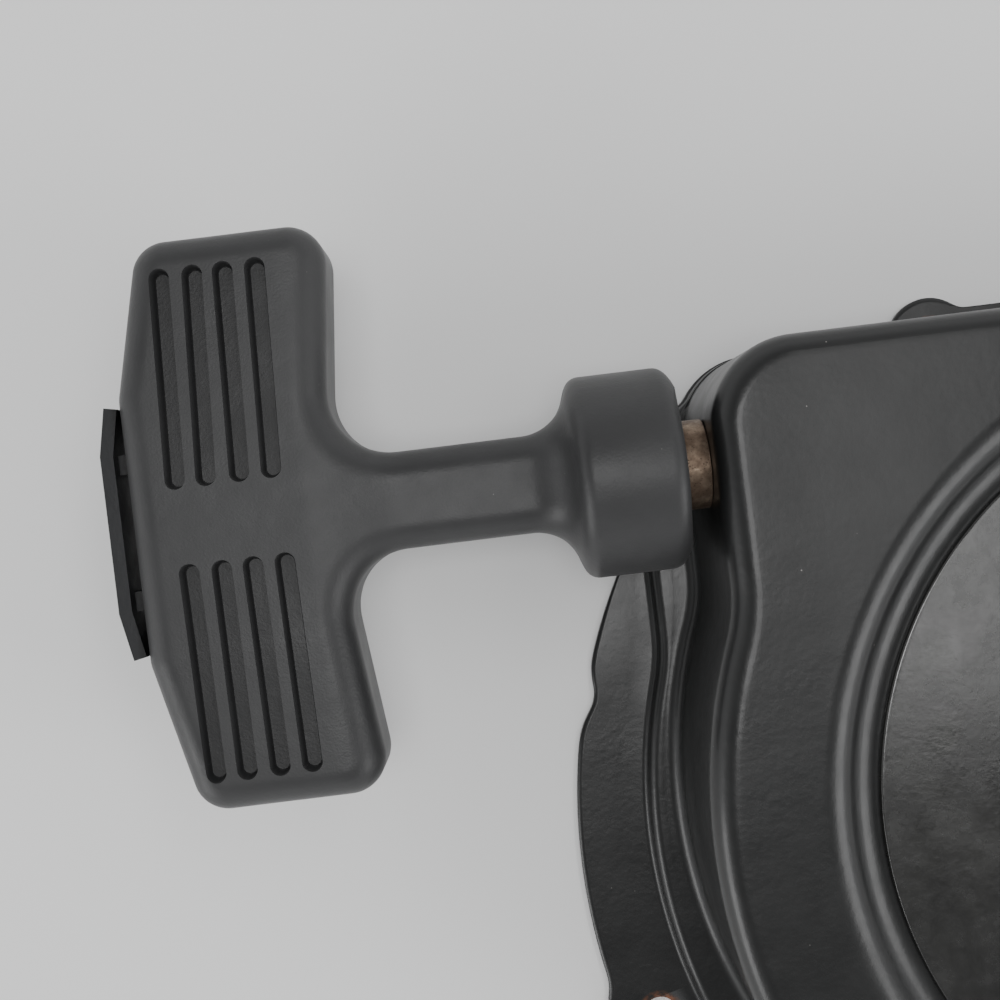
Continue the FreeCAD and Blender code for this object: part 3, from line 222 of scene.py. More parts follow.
class Shader:
    """A node material with small helpers; positions are object coordinates in metres."""

    def __init__(self, name, color, rough, metallic=0.0, **sockets):
        self.material = bpy.data.materials.new(name)
        self.material.use_nodes = True
        self.tree = self.material.node_tree
        self.bsdf = self.tree.nodes["Principled BSDF"]
        self.bsdf.inputs["Base Color"].default_value = (*color, 1)
        self.bsdf.inputs["Roughness"].default_value = rough
        self.bsdf.inputs["Metallic"].default_value = metallic
        for key, value in sockets.items():
            self.bsdf.inputs[key.replace("_", " ")].default_value = value
        self.coords = self.tree.nodes.new("ShaderNodeTexCoord").outputs["Object"]
        self.normal = None

    def node(self, kind, inputs=None, **settings):
        """New node with its settings made and its inputs set or linked."""
        made = self.tree.nodes.new(kind)
        for key, value in settings.items():
            setattr(made, key, value)
        for key, value in (inputs or {}).items():
            self.put(made.inputs[key], value)
        return made

    def put(self, socket, value):
        if isinstance(value, bpy.types.NodeSocket):
            self.tree.links.new(value, socket)
        else:
            socket.default_value = value

    def stretch(self, scale):
        """Position scaled differently along each axis, for brushed and fibrous grain."""
        return self.node("ShaderNodeMapping", {"Vector": self.coords, "Scale": scale}).outputs[0]

    def noise(self, scale, detail=3.0, rough=0.55, vector=None):
        inputs = {"Vector": vector or self.coords, "Scale": scale, "Detail": detail,
                  "Roughness": rough}
        return self.node("ShaderNodeTexNoise", inputs).outputs["Fac"]

    def cells(self, scale):
        """Distance from the nearest of a scatter of points."""
        inputs = {"Vector": self.coords, "Scale": scale}
        return self.node("ShaderNodeTexVoronoi", inputs).outputs["Distance"]

    def ramp(self, value, stops):
        made = self.node("ShaderNodeValToRGB", {"Fac": value})
        elements = made.color_ramp.elements
        while len(elements) < len(stops):
            elements.new(0.5)
        for element, (place, color) in zip(elements, stops):
            element.position = place
            element.color = (*color, 1)
        return made.outputs["Color"]

    def scale_to(self, value, low, high, new_low, new_high):
        """Value carried from low..high to new_low..new_high, and held at the ends."""
        made = self.node("ShaderNodeMapRange", {"Value": value, "From Min": low,
                                                "From Max": high, "To Min": new_low,
                                                "To Max": new_high})
        return made.outputs["Result"]

    def math(self, operation, a, b=0.0):
        return self.node("ShaderNodeMath", {0: a, 1: b}, operation=operation).outputs[0]

    def mix(self, factor, a, b):
        """Colour between a and b; sockets 6 and 7 and output 2 are the node's colour ones."""
        made = self.node("ShaderNodeMix", data_type="RGBA")
        self.put(made.inputs["Factor"], factor)
        for key, value in ((6, a), (7, b)):
            self.put(made.inputs[key], (*value, 1) if isinstance(value, tuple) else value)
        return made.outputs[2]

    def near(self, x, y, inner, outer):
        """1 within inner millimetres of the bolt hole at x, y and 0 beyond outer."""
        gap = self.node("ShaderNodeVectorMath", {0: self.coords, 1: (x * MM, y * MM, MM)},
                        operation="DISTANCE").outputs["Value"]
        return self.scale_to(gap, inner * MM, outer * MM, 1.0, 0.0)

    def color(self, value):
        self.put(self.bsdf.inputs["Base Color"], value)

    def rough(self, value):
        self.put(self.bsdf.inputs["Roughness"], value)

    def bump(self, height, strength, distance):
        """Fine relief, added to any set before it."""
        inputs = {"Height": height, "Strength": strength, "Distance": distance}
        if self.normal is not None:
            inputs["Normal"] = self.normal
        self.normal = self.node("ShaderNodeBump", inputs).outputs["Normal"]
        self.put(self.bsdf.inputs["Normal"], self.normal)


def painted_steel():
    """Semi-gloss black paint: orange peel, dust and rust at the bolt holes."""
    s = Shader("painted_steel", (0.012, 0.012, 0.012), 0.28, Specular_IOR_Level=0.36,
               Coat_Weight=0.12, Coat_Roughness=0.12)
    base = s.mix(s.noise(22.0, 3.0), (0.0085, 0.0090, 0.0093), (0.0125, 0.0127, 0.0124))
    specks = s.scale_to(s.cells(420.0), 0.035, 0.055, 1.0, 0.0)
    sparse = s.scale_to(s.noise(95.0, 1.0), 0.60, 0.66, 0.0, 1.0)
    dust = s.math("MULTIPLY", specks, sparse)
    worn = None
    for x, y, _ in BOLTS:
        ring = s.near(x, y, BOLT_HOLE - 0.1, BOLT_HOLE + 1.3)
        worn = ring if worn is None else s.math("MAXIMUM", worn, ring)
    worn = s.math("MULTIPLY", worn, s.scale_to(s.noise(700.0, 4.0), 0.35, 0.60, 0.0, 1.0))
    rust = s.mix(s.noise(1600.0, 3.0), (0.10, 0.030, 0.012), (0.34, 0.12, 0.045))
    base = s.mix(dust, base, (0.22, 0.21, 0.20))
    s.color(s.mix(worn, base, rust))
    grain = s.scale_to(s.noise(140.0, 4.0), 0.3, 0.7, 0.30, 0.39)
    s.rough(s.math("MAXIMUM", grain, s.math("MULTIPLY", worn, 0.9)))
    s.bump(s.noise(900.0, 2.0), 0.09, 0.0004)
    s.bump(s.noise(120.0, 2.0), 0.05, 0.002)
    return s.material


def gloss_disc():
    """Glossy black plate with a cloudy, slightly uneven finish."""
    s = Shader("gloss_disc", (0.012, 0.012, 0.011), 0.2, Specular_IOR_Level=0.7,
               Coat_Weight=0.4, Coat_Roughness=0.14)
    cloud = s.noise(70.0, 6.0, 0.68)
    s.color(s.mix(s.scale_to(cloud, 0.35, 0.65, 0.0, 1.0), (0.006, 0.006, 0.0055),
                  (0.018, 0.018, 0.0165)))
    s.rough(s.scale_to(s.noise(160.0, 6.0, 0.7), 0.3, 0.7, 0.15, 0.34))
    s.bump(s.noise(90.0, 3.0), 0.10, 0.0012)
    s.bump(s.noise(1400.0, 3.0), 0.12, 0.0002)
    return s.material


def moulded_rubber():
    """Matte black rubber with a fine mould texture, faint bloom and specks of dust."""
    s = Shader("moulded_rubber", (0.013, 0.013, 0.013), 0.46, Specular_IOR_Level=0.45,
               Sheen_Weight=0.03, Sheen_Roughness=0.5)
    bloom = s.noise(38.0, 5.0, 0.62)
    base = s.ramp(bloom, [(0.25, (0.0180, 0.0182, 0.0188)), (0.75, (0.0310, 0.0313, 0.0320))])
    specks = s.scale_to(s.cells(520.0), 0.03, 0.05, 1.0, 0.0)
    sparse = s.scale_to(s.noise(130.0, 1.0), 0.62, 0.68, 0.0, 1.0)
    s.color(s.mix(s.math("MULTIPLY", specks, sparse), base, (0.13, 0.13, 0.125)))
    s.rough(s.scale_to(s.noise(75.0, 4.0), 0.3, 0.7, 0.40, 0.52))
    s.bump(s.noise(2600.0, 2.0), 0.16, 0.0002)
    s.bump(s.noise(420.0, 2.0), 0.10, 0.0005)
    return s.material


# the inner face of the rear cap's plate, in metres; the painted shade on the cap's legs starts here
CAP_PLATE_X = -0.1678


def hard_plastic():
    """Satin black plastic, with painted shade: near black on the rear cap's legs, for the shadow in
    the grip's gap.
    """
    s = Shader("hard_plastic", (0.016, 0.016, 0.017), 0.38, Specular_IOR_Level=0.35)
    face = s.mix(s.noise(60.0, 3.0), (0.009, 0.0095, 0.0105), (0.014, 0.0145, 0.016))
    # painted shade: on the grip's side of the cap plate's inner face the colour goes near black,
    # standing in for the shadow where the legs stand in the grip's gap
    x = s.node("ShaderNodeSeparateXYZ", {0: s.coords}).outputs["X"]
    gap = s.scale_to(x, CAP_PLATE_X, CAP_PLATE_X + 0.0008, 0.0, 1.0)
    s.color(s.mix(gap, face, (0.002, 0.002, 0.002)))
    s.rough(s.scale_to(s.noise(240.0, 3.0), 0.3, 0.7, 0.33, 0.48))
    s.bump(s.noise(1500.0, 2.0), 0.10, 0.0003)
    return s.material


def reel_nylon():
    """Dark glass-filled nylon with drawn-out fibres."""
    s = Shader("reel_nylon", (0.035, 0.035, 0.037), 0.46)
    s.color(s.mix(s.noise(45.0, 4.0), (0.026, 0.026, 0.028), (0.045, 0.045, 0.048)))
    fibres = s.noise(1.0, 3.0, vector=s.stretch((1400.0, 420.0, 900.0)))
    s.rough(s.scale_to(fibres, 0.3, 0.7, 0.40, 0.58))
    s.bump(fibres, 0.12, 0.0003)
    return s.material


def sintered_bronze():
    """Oil-filled bronze: mottled brown and gold, with open pores."""
    s = Shader("sintered_bronze", (0.35, 0.26, 0.17), 0.46, 0.85)
    blotch = s.noise(420.0, 5.0, 0.65)
    base = s.ramp(blotch, [(0.30, (0.10, 0.068, 0.048)), (0.48, (0.15, 0.108, 0.078)),
                           (0.60, (0.21, 0.158, 0.115)), (0.75, (0.34, 0.270, 0.190))])
    pores = s.scale_to(s.cells(2300.0), 0.10, 0.22, 1.0, 0.0)
    s.color(s.mix(pores, base, (0.05, 0.038, 0.03)))
    s.rough(s.scale_to(blotch, 0.3, 0.7, 0.58, 0.36))
    s.bump(s.math("MULTIPLY", pores, -1.0), 0.35, 0.0002)
    s.bump(s.noise(1500.0, 3.0), 0.2, 0.0002)
    return s.material


def plated_steel(name="plated_steel", tint=(0.60, 0.585, 0.54), rough=0.33):
    """Bright plated metal with a brushed grain."""
    s = Shader(name, tint, rough, 1.0)
    low = tuple(c * 0.72 for c in tint)
    s.color(s.mix(s.noise(160.0, 5.0, 0.6), low, tint))
    brushed = s.noise(1.0, 3.0, vector=s.stretch((220.0, 2600.0, 900.0)))
    s.rough(s.scale_to(brushed, 0.3, 0.7, rough - 0.08, rough + 0.14))
    s.bump(brushed, 0.10, 0.0002)
    return s.material


def spring_steel():
    """Blued strip, rolled lengthwise."""
    s = Shader("spring_steel", (0.23, 0.24, 0.27), 0.30, 1.0)
    s.color(s.ramp(s.noise(55.0, 4.0), [(0.3, (0.13, 0.14, 0.18)), (0.7, (0.30, 0.29, 0.28))]))
    s.rough(s.scale_to(s.noise(500.0, 3.0), 0.3, 0.7, 0.24, 0.42))
    s.bump(s.noise(1.0, 2.0, vector=s.stretch((300.0, 300.0, 3500.0))), 0.12, 0.0002)
    return s.material


def hardened_steel():
    """Grey, blotchy, heat-treated steel."""
    s = Shader("hardened_steel", (0.16, 0.16, 0.165), 0.42, 1.0)
    s.color(s.mix(s.noise(210.0, 5.0, 0.6), (0.10, 0.10, 0.105), (0.24, 0.235, 0.225)))
    s.rough(s.scale_to(s.noise(600.0, 3.0), 0.3, 0.7, 0.34, 0.54))
    s.bump(s.noise(1300.0, 3.0), 0.25, 0.0003)
    return s.material


def natural_nylon():
    """Off-white uncoloured nylon."""
    s = Shader("natural_nylon", (0.72, 0.69, 0.58), 0.40, Subsurface_Weight=0.08,
               Subsurface_Scale=0.002)
    s.color(s.mix(s.noise(80.0, 4.0), (0.64, 0.60, 0.49), (0.78, 0.755, 0.66)))
    s.rough(s.scale_to(s.noise(400.0, 3.0), 0.3, 0.7, 0.34, 0.50))
    s.bump(s.noise(900.0, 2.0), 0.10, 0.0003)
    return s.material


def braided_cord():
    """Black braided cord: two families of strands along the line, with paler fibres."""
    s = Shader("braided_cord", (0.02, 0.02, 0.02), 0.78, Sheen_Weight=0.35, Sheen_Roughness=0.4)
    fibres = s.noise(1.0, 4.0, vector=s.stretch((1500.0, 3200.0, 3200.0)))
    s.color(s.ramp(fibres, [(0.30, (0.010, 0.010, 0.011)), (0.62, (0.032, 0.032, 0.034)),
                            (0.80, (0.085, 0.085, 0.085))]))
    s.rough(s.scale_to(fibres, 0.3, 0.7, 0.68, 0.88))
    s.bump(fibres, 0.45, 0.0003)
    return s.material


# ------------------------------------------------------------------ housing

def arc(centre, radius, start, end, steps):
    """Points along an arc between two angles in degrees."""
    angle = np.radians(np.linspace(start, end, steps))
    return np.stack([centre[0] + radius * np.cos(angle), centre[1] + radius * np.sin(angle)], 1)


def plan_outline(radius, drop, flat, outlet, corner, hollow, shoulder):
    """Dense closed plan of a round wall with an end wall at -X and a flat wall at +Y."""
    sx = math.sqrt((radius - shoulder) ** 2 - (flat + drop - shoulder) ** 2)
    sa = math.degrees(math.atan2(flat + drop - shoulder, sx))
    rise = math.sqrt((radius + hollow) ** 2 - (outlet + hollow) ** 2)
    hy = rise - drop
    ha = math.degrees(math.atan2(rise, -(outlet + hollow)))
    flat_run = np.stack([np.linspace(sx, -outlet + corner, 120), np.full(120, flat)], 1)
    end_run = np.stack([np.full(60, -outlet), np.linspace(flat - corner, hy, 60)], 1)
    parts = [arc((0, -drop), radius, 0, sa, 160),
             arc((sx, flat - shoulder), shoulder, sa, 90, 60),
             flat_run, arc((-outlet + corner, flat - corner), corner, 90, 180, 60), end_run,
             arc((-outlet - hollow, hy), hollow, 0, ha - 180, 40),
             arc((0, -drop), radius, ha, 360, 600)]
    return np.concatenate(parts)


def polar(outline, angles):
    """Radius of a closed outline at each angle."""
    a = np.degrees(np.arctan2(outline[:, 1], outline[:, 0])) % 360
    r = np.hypot(outline[:, 0], outline[:, 1])
    order = np.argsort(a)
    return np.interp(angles, a[order], r[order], period=360)


def blur(values, width):
    """Circular smoothing over width samples."""
    k = np.exp(-0.5 * (np.arange(-3 * width, 3 * width + 1) / width) ** 2)
    k /= k.sum()
    padded = np.concatenate([values[-3 * width:], values, values[:3 * width]])
    return np.convolve(padded, k, "valid")


def circle_reach(cx, cy, radius, angles):
    """How far a disc reaches along each angle from the origin; 0 where it is missed."""
    ux, uy = np.cos(np.radians(angles)), np.sin(np.radians(angles))
    along = cx * ux + cy * uy
    off = radius ** 2 - (cx * uy - cy * ux) ** 2
    return np.where(off > 0, np.maximum(along + np.sqrt(np.maximum(off, 0)), 0), 0)


def flange_radius(angles):
    """Outer edge of the flange along each angle."""
    uy = np.sin(np.radians(angles))
    ux = np.cos(np.radians(angles))
    rim = circle_reach(0, -FLANGE_DROP, FLANGE_R, angles)
    # past the upper left bolt the flat edge is drawn in
    left = angles > 90 + math.degrees(math.atan2(32.5, 76.0))
    flat = np.where(left & (ux < 0), FLANGE_LEFT_Y, FLANGE_FLAT_Y)
    rim = np.where(uy > 0.3, np.minimum(rim, flat / np.maximum(uy, 0.3)), rim)
    near_corner = (angles > 120) & (angles < 150)
    side = angles[near_corner]
    corner = np.minimum(FLANGE_END_X / -np.cos(np.radians(side)),
                        FLANGE_LEFT_Y / np.sin(np.radians(side)))
    middle = math.degrees(math.atan2(FLANGE_CORNER_Y, FLANGE_CORNER_X))
    reach = circle_reach(FLANGE_CORNER_X, FLANGE_CORNER_Y, FLANGE_CORNER_R, side)
    in_round = np.abs(side - middle) < FLANGE_CORNER_HALF_ANGLE
    corner = np.where(in_round, np.minimum(corner, reach), corner)
    rim[near_corner] = np.minimum(rim[near_corner], corner)
    for x, y, lobe in BOLTS:
        rim = np.maximum(rim, circle_reach(x, y, lobe, angles))
    notch_angle = math.degrees(math.atan2(NOTCH_Y, NOTCH_X))
    return rim - NOTCH_DEPTH * np.exp(-((angles - notch_angle) / NOTCH_SPREAD) ** 2)


def normals_2d(points):
    """Outward unit normals of a closed ring listed anticlockwise."""
    tangent = np.roll(points, -1, 0) - np.roll(points, 1, 0)
    normal = np.stack([tangent[:, 1], -tangent[:, 0]], 1)
    return normal / np.linalg.norm(normal, axis=1)[:, None]


def recess_section():
    """Radius and height from the recess floor up over its lip to the face."""
    section = rounded([(40, RECESS_Z), (RECESS_FLOOR_R, RECESS_Z), (RECESS_LIP_R, FACE_Z),
                       (75, FACE_Z)],
                      [0, RECESS_FLOOR_ROUND, RECESS_LIP_ROUND, 0], steps=12)
    return section[1:-1]


def dent(plan, height):
    """A ring of the wall with the pockets for the two upper bolt heads pushed in."""
    plan = plan.copy()
    above = np.maximum(height - POCKET_TOP, 0.0)
    for x, y, _ in BOLTS[:2]:
        left = POCKET_R ** 2 - (plan[:, 0] - x) ** 2 - above ** 2
        back = y - np.sqrt(np.maximum(left, 0.0))
        gap = np.where((left > 0) & (plan[:, 1] > 0), plan[:, 1] - back, 0.0)
        plan[:, 1] -= np.maximum(gap, 0.0)
    return plan


def spread_angles(count):
    """Angles round the shell in degrees, closer at the outlet corner and the left pocket."""
    base = np.linspace(0, 360, count, endpoint=False)
    dense = np.ones(count)
    for middle, spread, gain in ((138, 14, 2.2), (112, 8, 1.0)):
        dense += gain * np.exp(-((base - middle) / spread) ** 2)
    steps = np.cumsum(dense)
    angles = np.interp(base, np.concatenate([[0], steps[:-1]]) / steps[-1] * 360, base)
    return angles % 360


def shell_plans(angles, unit):
    """Plans of the wall, of the step and of the flange's edge, one point on each angle."""
    wall = polar(plan_outline(DRUM_R, 0.0, FLAT_Y, OUTLET_X, OUTLET_CORNER, OUTLET_HOLLOW,
                              SHOULDER), angles)[:, None] * unit
    ledge_r = polar(plan_outline(LEDGE_R, LEDGE_DROP, LEDGE_FLAT_Y, LEDGE_END_X, LEDGE_CORNER,
                                 LEDGE_HOLLOW, LEDGE_SHOULDER), angles)
    ledge_r = np.maximum(ledge_r, np.hypot(wall[:, 0], wall[:, 1]) + 0.3)
    ledge = blur(ledge_r, 3)[:, None] * unit
    rim = blur(np.maximum(flange_radius(angles), np.hypot(*ledge.T) + 0.3), 3)[:, None] * unit
    return wall, ledge, rim


def shell_rings(count):
    """Rings of the pressing's outer skin, from the recess floor over the drum to the flange."""
    angles = spread_angles(count)
    unit = np.stack([np.cos(np.radians(angles)), np.sin(np.radians(angles))], 1)
    wall, ledge, rim = shell_plans(angles, unit)
    out, ledge_out = normals_2d(wall), normals_2d(ledge)
    rings = []

    def add(plan, height):
        if GAUGE - 0.01 <= height < FACE_Z - TOP_ROUND:
            plan = dent(plan, height)
        rings.append(np.concatenate([plan, np.full((count, 1), height)], 1))

    def quarter(steps):
        return [math.radians(90 * k / steps) for k in range(steps + 1)]

    for radius in (14.0, 35.0, 55.0):
        add(unit * radius, RECESS_Z)
    section = recess_section()
    for radius, height in section:
        add(unit * radius, height)
    lip = unit * section[-1][0]
    start = wall - out * TOP_ROUND
    for part in (0.2, 0.4, 0.6, 0.8, 0.93):
        add(lip * (1 - part) + start * part, FACE_Z)
    for a in quarter(12):
        add(wall - out * TOP_ROUND * (1 - math.sin(a)), FACE_Z - TOP_ROUND * (1 - math.cos(a)))
    for height in (31.0, 28.0, 25.0, 23.0, *np.linspace(22.4, LEDGE_Z + FOOT_ROUND, 30)):
        add(wall, height)
    # where the step is narrow, its rounds shrink to fit
    width = np.hypot(*ledge.T) - np.hypot(*wall.T)
    room = np.clip(width / (FOOT_ROUND + 1.6), 0.03, 1.0)[:, None]
    for a in quarter(8)[1:]:
        add(wall + out * room * FOOT_ROUND * (1 - math.cos(a)),
            LEDGE_Z + FOOT_ROUND * (1 - math.sin(a)))
    inner = ledge - ledge_out * room * LEDGE_EDGE
    add((wall + out * room * FOOT_ROUND) * 0.5 + inner * 0.5, LEDGE_Z)
    for a in quarter(6):
        add(ledge - ledge_out * room * LEDGE_EDGE * (1 - math.sin(a)),
            LEDGE_Z - LEDGE_EDGE * (1 - math.cos(a)))
    gap = np.clip((np.hypot(*rim.T) - np.hypot(*ledge.T)) / 4.0, 0.05, 1.0)[:, None]
    for a in quarter(5)[1:]:
        add(ledge + ledge_out * gap * LEDGE_TOE * (1 - math.cos(a)),
            GAUGE + LEDGE_TOE * (1 - math.sin(a)))
    last = rings[-1][:, :2]
    for part in (0.35, 0.7, 0.92, 1.0):
        plan = last * (1 - part) + rim * part
        rings.append(np.concatenate([plan, np.full((count, 1), GAUGE)], 1))
    return rings


def build_shell():
    """The pressing without its holes: the outer skin, thickened inwards by the sheet's gauge."""
    count = 1440
    rings = shell_rings(count)
    verts = np.concatenate(rings)
    faces = [list(f) for f in ring_faces(len(rings), count)]
    faces.append(list(range(count))[::-1])
    # pressed sheet is never quite flat: a slow wave of a few hundredths of a millimetre
    wave = noise3(verts, 38.0, 3) * 0.05
    height_share = np.clip((verts[:, 2] - GAUGE) / 3.0, 0.0, 1.0)
    verts[:, 2] += wave * height_share
    shell = mesh_object("housing_skin", verts, faces)
    bpy.context.view_layer.objects.active = shell
    bpy.ops.object.select_all(action="DESELECT")
    shell.select_set(True)
    bpy.ops.object.mode_set(mode="EDIT")
    bpy.ops.mesh.select_all(action="SELECT")
    bpy.ops.mesh.normals_make_consistent(inside=False)
    bpy.ops.object.mode_set(mode="OBJECT")
    solid = shell.modifiers.new("gauge", "SOLIDIFY")
    solid.thickness = GAUGE * MM
    solid.offset = -1.0
    solid.use_even_offset = False
    apply_modifiers(shell)
    return shell


def rod(name, radius, start, end, steps=48):
    """Plain closed cylinder between two points in millimetres, used only as a cutter."""
    start, end = Vector(start), Vector(end)
    axis = (end - start).normalized()
    side = axis.orthogonal().normalized()
    other = axis.cross(side)
    verts = []
    for place in (start, end):
        for k in range(steps):
            a = 2 * math.pi * k / steps
            verts.append(tuple(place + side * radius * math.cos(a) + other * radius * math.sin(a)))
    faces = [list(f) for f in ring_faces(2, steps)]
    faces += [list(range(steps))[::-1], list(range(steps, 2 * steps))]
    return mesh_object(name, verts, faces, smooth=False)


def housing():
    """The painted pressing with its bolt holes and its outlet."""
    shell = build_shell()
    for x, y, _ in BOLTS:
        cut_away(shell, rod("hole", BOLT_HOLE, (x, y, -3), (x, y, 4)))
    cut_away(shell, rod("outlet", OUTLET_HOLE, (-OUTLET_X - 4, ROPE_Y, ROPE_Z),
                        (-OUTLET_X + 4, ROPE_Y, ROPE_Z)))
    shell.data.materials.clear()
    shell.data.materials.append(MATERIALS["paint"])
    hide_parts("housing_shell")
    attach(shell, "housing")


# ------------------------------------------------------------------ rubber grip

def corner_distance(a, b):
    """Signed distance to a square corner from the distances to its two sides."""
    return np.hypot(np.maximum(a, 0), np.maximum(b, 0)) + np.minimum(np.maximum(a, b), 0)


def box_distance(x, y, hx, hy):
    """Signed distance to a rectangle with half sizes hx and hy."""
    return corner_distance(np.abs(x) - hx, np.abs(y) - hy)


def round_union(a, b, radius):
    """Signed distance to two forms joined with a fillet."""
    ua, ub = np.maximum(radius - a, 0), np.maximum(radius - b, 0)
    return np.maximum(radius, np.minimum(a, b)) - np.hypot(ua, ub)


def polygon_distance(x, y, corners):
    """Signed distance in plan to a convex or bowed polygon listed in order."""
    best = np.full(x.shape, 1e9)
    inside = np.zeros(x.shape, bool)
    count = len(corners)
    for n in range(count):
        ax, ay = corners[n]
        bx, by = corners[(n + 1) % count]
        ex, ey = bx - ax, by - ay
        along = np.clip(((x - ax) * ex + (y - ay) * ey) / (ex * ex + ey * ey), 0, 1)
        best = np.minimum(best, np.hypot(x - ax - along * ex, y - ay - along * ey))
        crosses = (ay > y) != (by > y)
        with np.errstate(divide="ignore", invalid="ignore"):
            edge_x = ax + (y - ay) * ex / (ey if ey else 1e-12)
        inside ^= crosses & (x < edge_x)
    return np.where(inside, -best, best)


def grip_distance(x, y, z):
    """Signed distance to the rubber; x runs from the housing towards the hand."""
    inset = BAR_CORNER
    front, waist = BAR_FRONT + inset, BAR_WAIST + inset
    tip_back, back = BAR_TIP_BACK - inset, BAR_BACK - inset
    span = BAR_HALF_SPAN - inset
    corners = [(back, -BAR_BACK_HALF), (back, BAR_BACK_HALF), (tip_back, span), (front, span),
               (waist, 0), (front, -span), (tip_back, -span)]
    bar = polygon_distance(x, y, corners) - inset
    stem = np.maximum(np.abs(y) - STEM_HALF_WIDTH, COLLAR_FACE + 4 - x)
    plan = round_union(bar, np.maximum(stem, x - 150.0), 10.5)
    # the rubber grows from the stem's thickness to the bar's
    grow = np.clip((x - 124.0) / 16.0, 0, 1)
    grow = grow * grow * (3 - 2 * grow)
    edge = 4.2 + 0.4 * grow
    rise = np.abs(z) - STEM_HALF_THICK - (BAR_HALF_THICK - STEM_HALF_THICK) * grow
    body = corner_distance(plan + edge, rise + edge) - edge
    radial = np.hypot(y, z)
    mid, half = (COLLAR_FACE + COLLAR_BACK) / 2, (COLLAR_BACK - COLLAR_FACE) / 2
    collar = box_distance(x - mid, radial, half - COLLAR_ROUND, COLLAR_R - COLLAR_ROUND)
    body = round_union(body, collar - COLLAR_ROUND, 7.5)
    bore = np.maximum(radial - BORE_R, x - BORE_END)
    body = np.maximum(body, -bore)
    mouth = np.maximum(radial - MOUTH_R, x - (COLLAR_FACE + MOUTH_DEPTH))
    body = np.maximum(body, -mouth)
    pocket = np.maximum(radial - KNOT_POCKET_R, KNOT_POCKET_START - x)
    body = np.maximum(body, -pocket)
    legs = box_distance(np.abs(y) - LEG_Y, z, LEG_HALF_WIDTH, LEG_HALF_HEIGHT)
    return np.maximum(body, -np.maximum(legs, LEG_HOLE_START - x))


def surface_nets(distance, low, high, step):
    """Closed quad mesh of the zero level of distance on a regular grid."""
    axes = [np.arange(a, b + step, step) for a, b in zip(low, high)]
    gx, gy, gz = np.meshgrid(*axes, indexing="ij")
    field = distance(gx, gy, gz)
    solid = field < 0
    nx, ny, nz = field.shape
    corner_total = np.zeros((nx - 1, ny - 1, nz - 1), int)
    for dx in (0, 1):
        for dy in (0, 1):
            for dz in (0, 1):
                corner_total += solid[dx:nx - 1 + dx, dy:ny - 1 + dy, dz:nz - 1 + dz]
    active = (corner_total > 0) & (corner_total < 8)
    index = -np.ones(active.shape, int)
    index[active] = np.arange(active.sum())
    cell = np.argwhere(active)
    total = np.zeros((len(cell), 3))
    hits = np.zeros(len(cell))
    offsets = [(a, b, c) for a in (0, 1) for b in (0, 1) for c in (0, 1)]
    for a in offsets:
        for axis in range(3):
            if a[axis]:
                continue
            b = list(a)
            b[axis] = 1
            fa = field[cell[:, 0] + a[0], cell[:, 1] + a[1], cell[:, 2] + a[2]]
            fb = field[cell[:, 0] + b[0], cell[:, 1] + b[1], cell[:, 2] + b[2]]
            cross = (fa < 0) != (fb < 0)
            share = np.where(cross, fa / np.where(cross, fa - fb, 1), 0)
            place = np.tile(np.asarray(a, float), (len(cell), 1))
            place[:, axis] += share
            total[cross] += place[cross]
            hits += cross
    verts = (cell + total / hits[:, None]) * step + np.asarray([a[0] for a in axes])
    faces = []
    for axis in range(3):
        u, v = (axis + 1) % 3, (axis + 2) % 3
        lower = [slice(None)] * 3
        upper = [slice(None)] * 3
        lower[axis], upper[axis] = slice(0, -1), slice(1, None)
        flips = solid[tuple(lower)] != solid[tuple(upper)]
        place = np.argwhere(flips)
        inside = (place[:, u] > 0) & (place[:, v] > 0)
        inside &= (place[:, u] < active.shape[u]) & (place[:, v] < active.shape[v])
        place = place[inside]
        quad = []
        for du, dv in ((-1, -1), (0, -1), (0, 0), (-1, 0)):
            at = place.copy()
            at[:, u] += du
            at[:, v] += dv
            quad.append(index[tuple(at.T)])
        quad = np.stack(quad, 1)
        hollow = ~solid[tuple(place.T)]
        quad[hollow] = quad[hollow][:, ::-1]
        faces.append(quad)
    faces = np.concatenate(faces)
    return verts, faces


def project(verts, distance, rounds=4, reach=0.35):
    """Move vertices on to the zero level along the field's gradient."""
    h = 0.05
    for _ in range(rounds):
        x, y, z = verts.T
        value = distance(x, y, z)
        grad = np.stack([distance(x + h, y, z) - distance(x - h, y, z),
                         distance(x, y + h, z) - distance(x, y - h, z),
                         distance(x, y, z + h) - distance(x, y, z - h)], 1) / (2 * h)
        size = np.maximum((grad ** 2).sum(1), 0.2)
        move = -grad * (value / size)[:, None]
        length = np.linalg.norm(move, axis=1)
        move *= np.minimum(1.0, reach / np.maximum(length, 1e-9))[:, None]
        verts = verts + move * 0.9
    return verts


